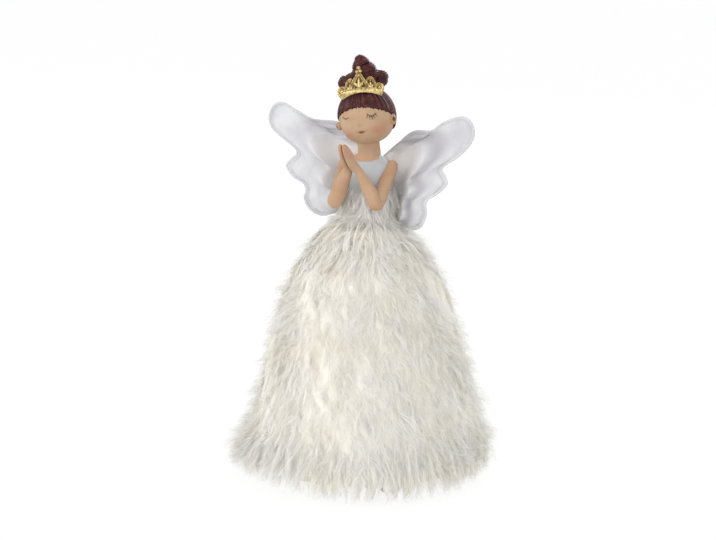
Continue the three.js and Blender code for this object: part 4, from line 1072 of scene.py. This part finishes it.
def torso_points(z, turn, out):
    """Points round the bust, this far out from its wall; a quarter turn back is the front."""
    line = curve_points(torso_shares, 120)
    share = (np.asarray(z) - waist_mm) / torso_height_mm
    half_width = chest_width_mm / 2 * np.interp(share, line[:, 0], line[:, 1])
    half_depth = chest_depth_mm / 2 * np.interp(share, line[:, 0], line[:, 2])
    return np.stack([
        (half_width + out) * np.cos(turn),
        torso_setback_mm + (half_depth + out) * np.sin(turn),
        z * np.ones_like(turn),
    ], axis=-1)


def make_torso(material):
    turn = turns(160)[None, :]
    z = (waist_mm + np.linspace(0, 1, 110) * torso_height_mm)[:, None]
    neckline = shoulder_line_mm - neckline_drop_mm + neckline_side_rise_mm * np.abs(np.cos(turn)) ** 2
    skin = smooth(-paint_edge_mm, paint_edge_mm, z - neckline)
    hem = bodice_hem_mm * bump_at(z, neckline - bodice_hem_drop_mm, bodice_hem_half_mm)
    points = torso_points(z, turn, paint_mm + bodice_paint_mm * (1 - skin) + hem)
    parts = Parts("skin")
    parts.grid(points, skin=skin)
    top = points[-1]
    middle = top.mean(axis=0)
    parts.grid(np.stack([top, middle + (top - middle) * 0.1]), skin=1.0)
    parts.make("bust_casting", material, "torso")


def make_belt(material):
    parts = Parts()
    rng = np.random.default_rng(fur_seed + 1)
    for row, height in enumerate(belt_rows_mm):
        for index in range(belt_beads):
            turn = (index + 0.5 * (row % 2)) / belt_beads * FULL_TURN
            place_z = waist_mm + height + rng.uniform(-belt_jitter_mm, belt_jitter_mm)
            center = torso_points(place_z, turn, belt_bead_out_mm + belt_middle_out_mm * (row == 1))
            parts.grid(ball(7, 9, belt_bead_mm * rng.uniform(*belt_bead_shares), center))
    ribbon = [torso_points(waist_mm + z, turns(120), out) for z, out in belt_ribbon_mm]
    parts.grid(np.stack(ribbon))
    parts.make("bead_belt", material, "waist_belt")


def limb_grid(stations, sides=28):
    """A smooth limb through stations of (place, half across, half other)."""
    controls = np.array([[*at, across, other] for at, across, other in stations])
    line = curve_points(controls, 7 * len(controls))
    direction = unit(np.gradient(line[:, :3], axis=0))
    other_axis = unit(np.cross(direction, np.array([1.0, 0, 0])))
    first_axis = unit(np.cross(other_axis, direction))
    return rings_on(line[:, :3], first_axis, other_axis, line[:, None, 3:4], line[:, None, 4:5], sides)


def arm_stations(side, shoulder, palm, tip):
    """The arm's stations from the shoulder over the elbow to the fingertips."""
    elbow_x, forearm, wrist_x, hand = arm_sizes_mm[side]
    elbow = np.array([side * elbow_x, elbow_y_mm, shoulder_line_mm - elbow_drop_mm])
    wrist = np.array([side * wrist_x, hand_y_mm, shoulder_line_mm - hand_drop_mm])
    bend = elbow + (wrist - elbow) * elbow_share + np.array(elbow_bulge_mm)
    stations = [(shoulder + (0, back, up), half, other) for back, up, half, other in shoulder_stations_mm]
    stations += [(shoulder + (elbow - shoulder) * share, half, half) for share, half in upper_arm_stations]
    stations += [(bend, forearm, forearm)]
    stations += [(elbow + (wrist - elbow) * share, forearm - less, forearm - less)
                 for share, less in forearm_stations]
    stations += [(wrist, *(forearm - less for less in wrist_less_mm))]
    stations += [(palm + (tip - palm) * share, hand - less, broad) for share, less, broad in palm_stations]
    stations += [(palm + (tip - palm) * share, thick, broad) for share, thick, broad in finger_stations]
    return stations


def make_arm(side, material):
    x, y, z = shoulder_mm
    shoulder = np.array([side * x, y, shoulder_line_mm + z])
    palm_x = arm_sizes_mm[side][3] + palm_gap_mm
    palm = np.array([side * palm_x, hand_y_mm, shoulder_line_mm - hand_drop_mm])
    x, y, z = fingertip_mm
    tip = np.array([side * x, y, shoulder_line_mm + z])
    points = limb_grid(arm_stations(side, shoulder, palm, tip))
    # The palms meet in a plane, and the fingers are parted by shallow grooves on the outer side.
    x = points[..., 0] * side
    along = (points[..., 2] - (shoulder_line_mm + finger_start_mm)) / finger_run_mm
    across = unit(np.array([0.0, tip[2] - palm[2], -(tip[1] - palm[1])]))
    offset = (points - palm) @ across
    on_hand = smooth(shoulder_line_mm - hand_start_mm, shoulder_line_mm, points[..., 2])
    on_hand = on_hand * smooth(*hand_front_mm, -points[..., 1])
    fingers = smooth(0.15, 0.5, along) * (x > finger_side_mm) * on_hand
    groove = finger_groove_mm * (np.cos(offset * FULL_TURN / finger_pitch_mm) > 0.8) * fingers
    points[..., 0] = side * np.maximum(x - groove, palm_plane_mm)
    parts = Parts("blush", "lips", "deep")
    parts.grid(points, blush=0.12 + 0.3 * fingers)
    parts.make("arm_casting_" + side_names[side], material, "arm_" + side_names[side])


# Wings


def wing_line(side, count):
    """The wing's outline; the lower lobes reach further on one side and the tip is lower on the other."""
    out, up = wing_outline_shares.T
    if side > 0:
        up = up - 0.065 + 0.025 * smooth(0.62, 0.82, up)
        out = out - 0.03 * smooth(0.4, 0.7, out)
    else:
        out = out + 0.055 * smooth(0.2, 0.5, out) * bump_at(up, 0.3, 0.22) + 0.02 * smooth(0.8, 1, out)
    flat = np.stack([
        wing_root_x_mm + wing_span_mm * out,
        np.zeros(len(out)),
        wing_bottom_mm + wing_height_mm * up,
    ], axis=1)
    return even_points(curve_points(flat, 400), count)


def drawn_in(points, distance):
    direction = unit(np.gradient(points, axis=0))
    inward = np.stack([direction[:, 2], np.zeros(len(points)), -direction[:, 0]], axis=1)
    return points + inward * distance


def wing_shares(flat):
    """How far out and how high a place on the wing is."""
    return (flat[..., 0] - wing_root_x_mm) / wing_span_mm, (flat[..., 2] - wing_bottom_mm) / wing_height_mm


def ridge_share(high):
    """How far out the ridge of the wing's upright fold is."""
    return wing_ridge_shares[0] + wing_ridge_shares[1] * high


def on_wing(flat, side, lift):
    """The wing sweeps forward from its root, more so below, and has a soft upright fold."""
    x, z = flat[..., 0], flat[..., 2]
    out, high = (np.clip(share, 0, 1) for share in wing_shares(flat))
    past = np.maximum(x - wing_patch_half_mm, 0) / wing_span_mm
    forward = past * (wing_sweep_mm + wing_lower_sweep_mm * (1 - high) ** 2)
    forward = forward + wing_fold_mm * np.minimum(past / 0.28, 1) * bump_at(out, ridge_share(high), 0.14)
    return np.stack([side * x, wing_root_y_mm - forward + lift, z], axis=-1)


def wing_thickness(flat, inside):
    """Half the wing's thickness: padding, a flat rim, a sunk seam and creases; inside is from the edge."""
    x, z = flat[..., 0], flat[..., 2]
    puff = wing_puff_mm * smooth(*wing_puff_zone_mm, inside)
    puff = puff + wing_rim_mm * smooth(*wing_rim_zone_mm, inside)
    seam = -wing_seam_mm * bump_at(inside, wing_seam_inset_mm, wing_seam_half_mm)
    crease = 0.35 * np.sin(0.9 * x + 0.35 * z) * bump_at(inside, *wing_gather_mm)
    crease += 0.5 * np.sin(0.33 * z - 0.2 * x) * smooth(*wing_open_zone_mm, inside)
    crease += 0.22 * np.sin(2.3 * (x + z)) * bump_at(inside, *wing_pucker_mm)
    return wing_skin_mm + puff + seam + 0.35 * crease * smooth(*wing_crease_zone_mm, inside)


def make_wing_cushion(side, material):
    rows, columns = 260, 44
    share = np.linspace(0, 1, rows)
    reach = np.linspace(0, 1, columns)[None, :]
    edge = drawn_in(wing_line(side, rows), wing_edge_inset_mm)
    root = edge[0] + (edge[-1] - edge[0]) * smooth(0, 1, share)[:, None]
    flat = root[:, None, :] + (edge - root)[:, None, :] * reach[..., None]
    span = np.linalg.norm(edge - root, axis=1)[:, None]
    inside = np.minimum(span * (1 - reach), span * reach + wing_margin_mm)
    thick = wing_thickness(flat, inside)
    out, high = wing_shares(flat)
    # Colour numbers: fold is painted shade in the hollow inside the ridge, along the seam, on the shaded
    # side of the crest and over the outer band of the left wing. Near is painted light towards the root,
    # where the body shades the wing.
    hollow = bump_at(out, ridge_share(high) - 0.17, 0.1) * smooth(0.0, 0.1, out)
    wave = smooth(*wing_swell_zone_mm, inside + wing_margin_mm * reach)
    wave = wave * smooth(0.1, 0.4, share * (1 - share) * 4)[:, None]
    middle = 0.54 + 0.04 * np.sin(9 * share)[:, None]
    rise = smooth(middle - 0.28, middle, reach) * (1 - smooth(middle, middle + 0.09, reach))
    crest = (wing_swell_mm * rise - wing_dip_mm * bump_at(reach, middle + 0.17, 0.07)) * wave
    shaded = (0.5 + 0.25 * side) * bump_at(reach, middle + 0.14, 0.09)
    fold = 0.25 * hollow + 0.3 * bump_at(inside, wing_seam_inset_mm, 0.45) + shaded * wave
    fold = fold + 0.18 * (side > 0) * smooth(middle, middle + 0.1, reach)
    near = smooth(0.62, 0.2, reach) * np.ones_like(inside)
    parts = Parts("fold", "near")
    for face in (-1, 1):
        surface = on_wing(flat, side, face * thick - crest)
        order = slice(None) if face * side < 0 else slice(None, None, -1)
        parts.grid(surface[:, order], around=False, fold=fold[:, order], near=near[:, order])
    name = side_names[side]
    wing = parts.make("satin_wing_" + name, material, "wing_" + name)


def make_wing_edging(side, material):
    parts = Parts("fold")
    count = 420
    line = drawn_in(wing_line(side, count), wing_cord_inset_mm)
    pucker = 1 + 0.07 * np.sin(np.arange(count) * 1.1)
    parts.grid(rounded_tube(on_wing(line, side, 0), wing_cord_half_mm * pucker, 12), fold=0.15)
    parts.make("wing_edging_" + side_names[side], material, "wing_wire_" + side_names[side])


def make_wing_stitches(side, material):
    parts = Parts()
    for inset, count in stitch_rows:
        line = even_points(drawn_in(wing_line(side, 400), inset), count * 2)
        for index in range(1, count - 1):
            points = np.linspace(*line[2 * index:2 * index + 2], 4)
            for face in (-1, 1):
                lifted = on_wing(points, side, face * stitch_lift_mm)
                parts.grid(rounded_tube(lifted, stitch_half_mm, 5))
    parts.make("wing_stitches_" + side_names[side], material)


# Fur


def fur_radius(z):
    return np.interp(z, fur_outline_mm[:, 0], fur_outline_mm[:, 1])


def lock_field(turn, z, seed):
    """A slowly changing number from -1 to 1 over the skirt, the same each run."""
    rng = np.random.default_rng(seed)
    total = np.zeros(np.broadcast(turn, z).shape)
    for _ in range(9):
        around = rng.integers(2, 13)
        up = rng.uniform(0.02, 0.13)
        phase = rng.uniform(0, FULL_TURN)
        total = total + np.sin(around * turn + up * z + phase)
    return total / 4.2


def kept_above(z, lowest):
    """Heights that ease out over the lowest one instead of passing it."""
    return lowest + np.logaddexp(0, 1.5 * (z - lowest)) / 1.5


def strand_tones(rng, clump, clump_count, middle, spread):
    """How pale each strand is, partly its own and partly its tuft's."""
    own = rng.normal(middle, spread, len(clump))
    return np.clip(own + 0.25 * rng.normal(0, 1, clump_count)[clump], 0, 1)


def strand_mesh(name, path, width, facing, strand, material):
    """Tapered flat strands from path[strand, step, 3]; facing is the way each strand is lit from."""
    count, steps = path.shape[:2]
    direction = unit(np.gradient(path, axis=1))
    across = unit(np.cross(direction, facing[:, None, :]))
    share = np.linspace(0, 1, steps)
    half = 0.5 * width[:, None] * (1 - 0.78 * share[None, :] ** 2)
    points = np.stack([path - across * half[..., None], path + across * half[..., None]], axis=2)
    base = (np.arange(count) * steps * 2)[:, None] + (np.arange(steps - 1) * 2)[None, :]
    faces = np.stack([base, base + 1, base + 3, base + 2], axis=-1).reshape(-1, 4)
    along = np.broadcast_to(share[None, :, None], points.shape[:3])
    tone = np.broadcast_to(strand[:, None, None], points.shape[:3])
    made = piece(name, points, faces, material, {"along": along, "strand": tone})
    made.data.normals_split_custom_set_from_vertices(np.repeat(unit(facing), 2 * steps, axis=0))
    columns = math.ceil(math.sqrt(count))
    cell = np.arange(count)[:, None, None]
    u = (cell % columns) / columns + (np.array([0.15, 0.85]) / columns)[None, None, :]
    v = (cell // columns) / columns + (0.06 + 0.88 * share[None, :, None]) / columns
    uv = np.stack(np.broadcast_arrays(u, v), axis=-1).reshape(-1, 2)
    layer = made.data.uv_layers.new(name="OFBake")
    layer.data.foreach_set("uv", uv[faces.ravel()].ravel().astype(np.float32))


def hem_heights(uneven, turn, wisps):
    """How far down strands may hang; the wisps hang over the hem, more so at two opposite sides."""
    if not wisps:
        return fur_hem_mm + uneven ** 2 * hem_inner_uneven_mm
    beside = np.sin(turn - math.radians(hem_low_deg))
    return fur_floor_mm + uneven * hem_uneven_mm + hem_rise_mm * beside ** 2


def skirt_strands(rng, clump_count, per_clump, wisps):
    """Paths of the skirt's strands, in soft tufts that stand off the cone, hang and curl at their ends."""
    heights = np.linspace(fur_hem_mm + 2 * strand_inset_mm, fur_top_mm, 300)
    crowding = heights < wisp_top_mm if wisps else 1 + 0.6 * smooth(*crowded_zone_mm, heights)
    weight = (fur_radius(heights) + tuft_crowding_mm) * crowding
    even = (np.arange(clump_count) + rng.random(clump_count)) / clump_count
    clump_z = np.interp(even, np.cumsum(weight) / weight.sum(), heights)
    clump_turn = np.arange(clump_count) * golden_turn + rng.random() * FULL_TURN
    clump_turn = clump_turn + rng.normal(0, 0.04, clump_count)
    high = smooth(*upper_zone_mm, clump_z)
    clump_length = rng.uniform(*tuft_length_mm, clump_count) * (1.8 if wisps else 1) * (1 - 0.2 * high)
    loner = rng.random(clump_count) < 0.12
    flare = rng.normal(*tuft_lean_mm, clump_count) + field_lean_mm * lock_field(clump_turn, clump_z, 21)
    flare = flare + loner * rng.uniform(*tuft_flare_mm, clump_count)
    sweep = rng.normal(*tuft_sweep_mm, clump_count) + field_sweep_mm * lock_field(clump_turn, clump_z, 5)
    spread = rng.uniform(*tuft_spread_mm, clump_count)
    lift = rng.uniform(0, 0.2, clump_count) + 0.2 * loner + 0.3 * high ** 2 * rng.random(clump_count)
    curl = rng.uniform(*tuft_curl_mm, clump_count)
    phase = rng.random(clump_count) * FULL_TURN

    total = clump_count * per_clump
    clump = np.repeat(np.arange(clump_count), per_clump)
    stray = (rng.random(clump_count) < 0.2)[clump] * (rng.random(total) < 0.12)
    stray = (stray * rng.uniform(0.4, 1, clump_count)[clump])[:, None]
    turn, root_z, length, flare, sweep, spread, lift, curl, phase = (values[clump][:, None] for values in (
        clump_turn, clump_z, clump_length, flare, sweep, spread, lift, curl, phase))
    offset = rng.normal(0, 1, (total, 2)) * spread
    root_z = np.clip(root_z, fur_hem_mm + strand_inset_mm, fur_top_mm)
    lowest = hem_heights(rng.random(total)[:, None], turn, wisps)
    length = length * rng.uniform(0.6, 1.2, total)[:, None] * (1 + 0.3 * stray)
    length = np.minimum(length, 1.2 * (root_z - lowest) + strand_least_mm)
    raised = lift + 0.25 * stray
    share = np.linspace(0, 1, 8)[None, :]
    gather = 1 - 0.88 * smooth(0.15, 1, share)
    top = smooth(*falling_zone_mm, root_z)
    fall = (1 - raised) * (0.15 * (1 - top) * share + (0.85 + 0.15 * top) * share ** (1.5 + 1.3 * top))
    wave = phase + rng.normal(0, 0.4, total)[:, None] + 6.5 * share
    size = curl * share
    z = root_z + 1.5 * offset[:, 1:] * gather - length * fall + 0.5 * size * np.sin(wave + 1)
    push = 0.35 * np.clip(lowest - z, 0, hem_push_mm)
    z = kept_above(z, lowest)
    loose = rng.normal(0, loose_end_mm, total)[:, None] * share ** 1.5
    rooted = (root_depth_mm + root_top_depth_mm * top) * (1 - share) ** (1.5 + 1.5 * top)
    flare = (flare + stray_flare_mm * stray) * share ** 2
    radius = fur_radius(z) - strand_inset_mm - rooted + flare
    outward = 0.6 * length * raised * share ** 1.3 - strand_inset_mm
    beside = wrapped(turn - math.radians(hem_sweep_deg))
    swept = hem_sweep_mm * bump_at(beside, 0, 0.5) * smooth(*hem_sweep_zone_mm, z) * share
    radius = np.minimum(radius + loose + push + outward + swept + size * np.cos(wave), fur_reach_mm)
    side = offset[:, :1] * gather + sweep * share ** 1.5 + size * np.sin(wave)
    turn = turn + side / np.maximum(radius, turning_radius_mm)
    return around_axis(radius, turn, z), turn, strand_tones(rng, clump, clump_count, 0.5, 0.22)


def make_skirt_fur(material):
    rng = np.random.default_rng(fur_seed)
    names = [f"skirt_fur_{index + 1}" for index in range(skirt_fur_pieces)] + ["skirt_wisps"]
    for name in names:
        wisps = name == names[-1]
        clump_count, per_clump, width = wisp_tufts if wisps else skirt_tufts
        path, turn, tone = skirt_strands(rng, clump_count, per_clump, wisps)
        count = len(path)
        middle = turn[:, turn.shape[1] // 2] + rng.uniform(-0.35, 0.35, count)
        slope = 0.8 * smooth(*upturned_zone_mm, path[:, 0, 2])
        facing = around_axis(1.0, middle, slope + rng.uniform(0.25, 0.7, count))
        strand_mesh(name, path, width * rng.uniform(0.7, 1.2, count), facing, tone, material)


def make_fur_backing(material):
    """The dense ground of the fur, which closes the skirt under the strands."""
    turn = turns(260)[None, :]
    z = np.linspace(fur_hem_mm - 1, waist_mm - 1, 150)[:, None]
    lump = 1.0 * lock_field(turn, z, 33) + 0.5 * np.sin(41 * turn + 0.2 * z) * np.sin(0.45 * z + 3 * turn)
    radius = np.minimum(fur_radius(z) - ground_depth_mm + lump, ground_neck_mm + 0.8 * (waist_mm - 1 - z))
    hem = np.array([[fur_radius(fur_hem_mm) - ground_hem_inset_mm, fur_hem_mm - ground_hem_drop_mm]])
    outline = np.concatenate([ground_hem_mm, hem])
    below, above = (around_axis(rings[:, :1], turn, rings[:, 1:]) for rings in (outline, ground_top_mm))
    parts = Parts()
    parts.grid(np.concatenate([below, around_axis(radius, turn, z), above]))
    parts.make("fur_ground", material, "skirt_fur")


def bodice_strands(rng, count, per_clump):
    """Paths of the bodice's strands, in tufts that hang round the chest but not behind it."""
    turn = rng.random(count) * FULL_TURN
    root_z = waist_mm + bodice_low_mm + bodice_run_mm * rng.random(count) ** 1.4
    behind = np.abs(wrapped(turn - math.pi / 2)) < math.radians(bodice_gap_deg)
    clump = np.repeat(np.arange(count), per_clump)
    total = count * per_clump
    turn = np.where(behind, turn + math.pi, turn)
    turn, root_z = (values[clump][:, None] for values in (turn, root_z))
    offset = rng.normal(0, 1, (total, 2))
    share = np.linspace(0, 1, 7)[None, :]
    front = np.maximum(-np.sin(turn + math.radians(8)), 0) ** 3
    length = rng.uniform(*bodice_length_mm, total)[:, None] * (1 - 0.35 * front)
    gather = 1 - 0.75 * share
    z = root_z + 1.3 * offset[:, 1:] * gather - length * (0.2 * share + 0.8 * share ** 1.4)
    floor = waist_mm + rng.uniform(*bodice_floor_mm, total)[:, None] + bodice_front_rise_mm * front
    z = kept_above(z, floor)
    sizes = (bodice_flare_mm, bodice_sweep_mm)
    flare, sweep = (rng.normal(0, size, count)[clump][:, None] for size in sizes)
    low = smooth(*(waist_mm + height for height in bodice_zone_mm), root_z)
    swell = bodice_swell_mm * (0.55 + 0.45 * low) * np.sin(0.5 * math.pi * np.minimum(share * 1.3, 1))
    out = bodice_out_mm + swell + flare * share ** 2
    out = out + (bodice_end_mm + bodice_low_end_mm * low * (1 - 0.4 * front)) * share ** 1.5
    turn = turn + (offset[:, :1] * gather + sweep * share ** 1.5) / bodice_radius_mm
    return torso_points(z, turn, out), turn, clump


def make_bodice_fur(material):
    rng = np.random.default_rng(fur_seed + 5)
    count, per_clump = bodice_tufts
    path, turn, clump = bodice_strands(rng, count, per_clump)
    total = len(path)
    facing = np.stack([np.cos(turn[:, 3]), np.sin(turn[:, 3]), np.full(total, 1.0)], axis=-1)
    facing = unit(facing + rng.normal(0, 0.3, (total, 3)))
    # The bodice's strands are paler on the whole than the skirt's: painted light where the arms shade them.
    tone = strand_tones(rng, clump, count, 0.75, 0.15)
    strand_mesh("bodice_fur_strands", path, rng.uniform(*bodice_width_mm, total), facing, tone, material)


def make_bodice_backing(material):
    gap = math.radians(bodice_ground_gap_deg)
    turn = np.linspace(math.pi / 2 + gap, math.pi / 2 + FULL_TURN - gap, 120)[None, :]
    height = np.linspace(0, 1, 24)[:, None]
    low, run = bodice_ground_mm
    near, swell = bodice_ground_out_mm
    z = waist_mm + low + run * height
    parts = Parts()
    parts.grid(torso_points(z, turn, near + swell * np.sin(math.pi * height) ** 0.6), around=False)
    parts.grid(torso_points(z, turn, bodice_backing_mm)[:, ::-1], around=False)
    parts.make("bodice_fur_ground", material, "bodice_fur")


# CAD nodes that keep their own shape


def dress_nodes():
    base = moulded_look("white_moulding", (238, 237, 232))
    zinc = metal_look("zinc_plate", (196, 198, 202))
    nickel = metal_look("nickel_plate", (214, 212, 204), 0.22)
    looks = {
        ("base_plate", "battery_box", "battery_door", "switch_knob"): base,
        ("foot_1", "foot_2", "foot_3", "foot_4"): base,
        ("skirt_cone", "cone_cap"): moulded_look("translucent_sheet", (238, 236, 228), 0.8, 0.6),
        ("bust_post",): wood_look(),
        ("door_screw", "spring_1", "spring_2"): zinc,
        ("contact_bridge", "contact_positive", "contact_negative"): nickel,
        ("cell_1", "cell_2"): cell_look(),
        ("switch_body",): moulded_look("black_moulding", (40, 41, 44)),
        ("led_board",): moulded_look("board_coat", (44, 108, 70), 1.5, 0.35),
        ("led_1", "led_2", "led_3", "led_4"): lens_look(),
        ("resistor",): resistor_look(),
        ("lead_positive",): moulded_look("red_insulation", (164, 38, 34)),
        ("lead_negative", "lead_switched"): moulded_look("black_insulation", (34, 34, 36)),
        ("wing_patch",): felt_look(),
    }
    for names, material in looks.items():
        for name in names:
            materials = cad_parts[name].data.materials
            materials.clear()
            materials.append(material)


# Stage


def make_camera():
    azimuth = math.radians(camera_azimuth_deg)
    elevation = math.radians(camera_elevation_deg)
    right = Vector((math.cos(azimuth), math.sin(azimuth), 0))
    back = Vector((math.sin(azimuth) * math.cos(elevation), -math.cos(azimuth) * math.cos(elevation),
                   math.sin(elevation)))
    aside = (photo_width_px / 2 - skirt_axis_px) * photo_mm_per_px * MM
    target = Vector((0, 0, camera_target_height_mm * MM)) + right * aside
    data = bpy.data.cameras.new("camera")
    data.sensor_width = sensor_width_mm
    data.lens = sensor_width_mm * camera_distance_mm / (photo_width_px * photo_mm_per_px)
    camera = new_object("camera", data)
    camera.location = target + back * camera_distance_mm * MM
    camera.rotation_euler = back.to_track_quat("Z", "Y").to_euler()
    bpy.context.scene.camera = camera


def make_lamps():
    for name, (place, size, energy, color) in lamps.items():
        data = bpy.data.lights.new(name, "AREA")
        data.energy = energy
        data.size = size
        data.color = color
        lamp = new_object(name, data)
        lamp.location = place
        toward = Vector(lamps_aim_m) - Vector(place)
        lamp.rotation_euler = toward.to_track_quat("-Z", "Y").to_euler()


def seen_directly(tree):
    """1 for what the camera, a reflection or clear glass sees."""
    path = tree.nodes.new("ShaderNodeLightPath")
    total = path.outputs["Is Camera Ray"]
    for ray in ("Is Glossy Ray", "Is Transmission Ray"):
        total = add_math(tree, "MAXIMUM", total, path.outputs[ray])
    return total


def make_world():
    world = bpy.data.worlds.new("studio")
    world.use_nodes = True
    bpy.context.scene.world = world
    tree = world.node_tree
    soft = tree.nodes["Background"]
    set_inputs(tree, soft, {"color": white, "strength": world_strength})
    plain = add_node(tree, "ShaderNodeBackground", color=white, strength=1)
    blend_shaders(tree, seen_directly(tree), soft, plain, "World Output")


def make_floor():
    look = Look("pale_floor", roughness=0.9)
    look.color(look.tones((246, 246, 246), (243, 243, 243), size_mm=200))
    glow = look.node("ShaderNodeEmission", color=white, strength=floor_glow)
    share = add_math(look.tree, "MULTIPLY", seen_directly(look.tree), floor_glow_share)
    blend_shaders(look.tree, share, look.shader, glow)
    mesh = bpy.data.meshes.new("floor")
    corners = [(x * floor_half_m, y * floor_half_m, 0) for x, y in ((-1, -1), (1, -1), (1, 1), (-1, 1))]
    mesh.from_pydata(corners, [], [(0, 1, 2, 3)])
    mesh.materials.append(look.material)
    new_object("floor", mesh)


bpy.context.scene.view_settings.view_transform = "Standard"
make_camera()
make_world()
make_floor()
make_lamps()

dress_nodes()
skin = skin_look()
hair = hair_look()
satin = satin_look()
make_head(skin)
make_face_paint(lash_look())
make_hair_cap(hair)
make_bun(hair)
make_crown(gold_look())
make_torso(bodice_look())
make_belt(silver_look())
for side_of_body in (-1, 1):
    make_arm(side_of_body, skin)
    make_wing_cushion(side_of_body, satin)
    make_wing_edging(side_of_body, satin)
    make_wing_stitches(side_of_body, thread_look())
fibres = fur_look()
ground = fur_base_look()
make_skirt_fur(fibres)
make_fur_backing(ground)
make_bodice_fur(fibres)
make_bodice_backing(ground)
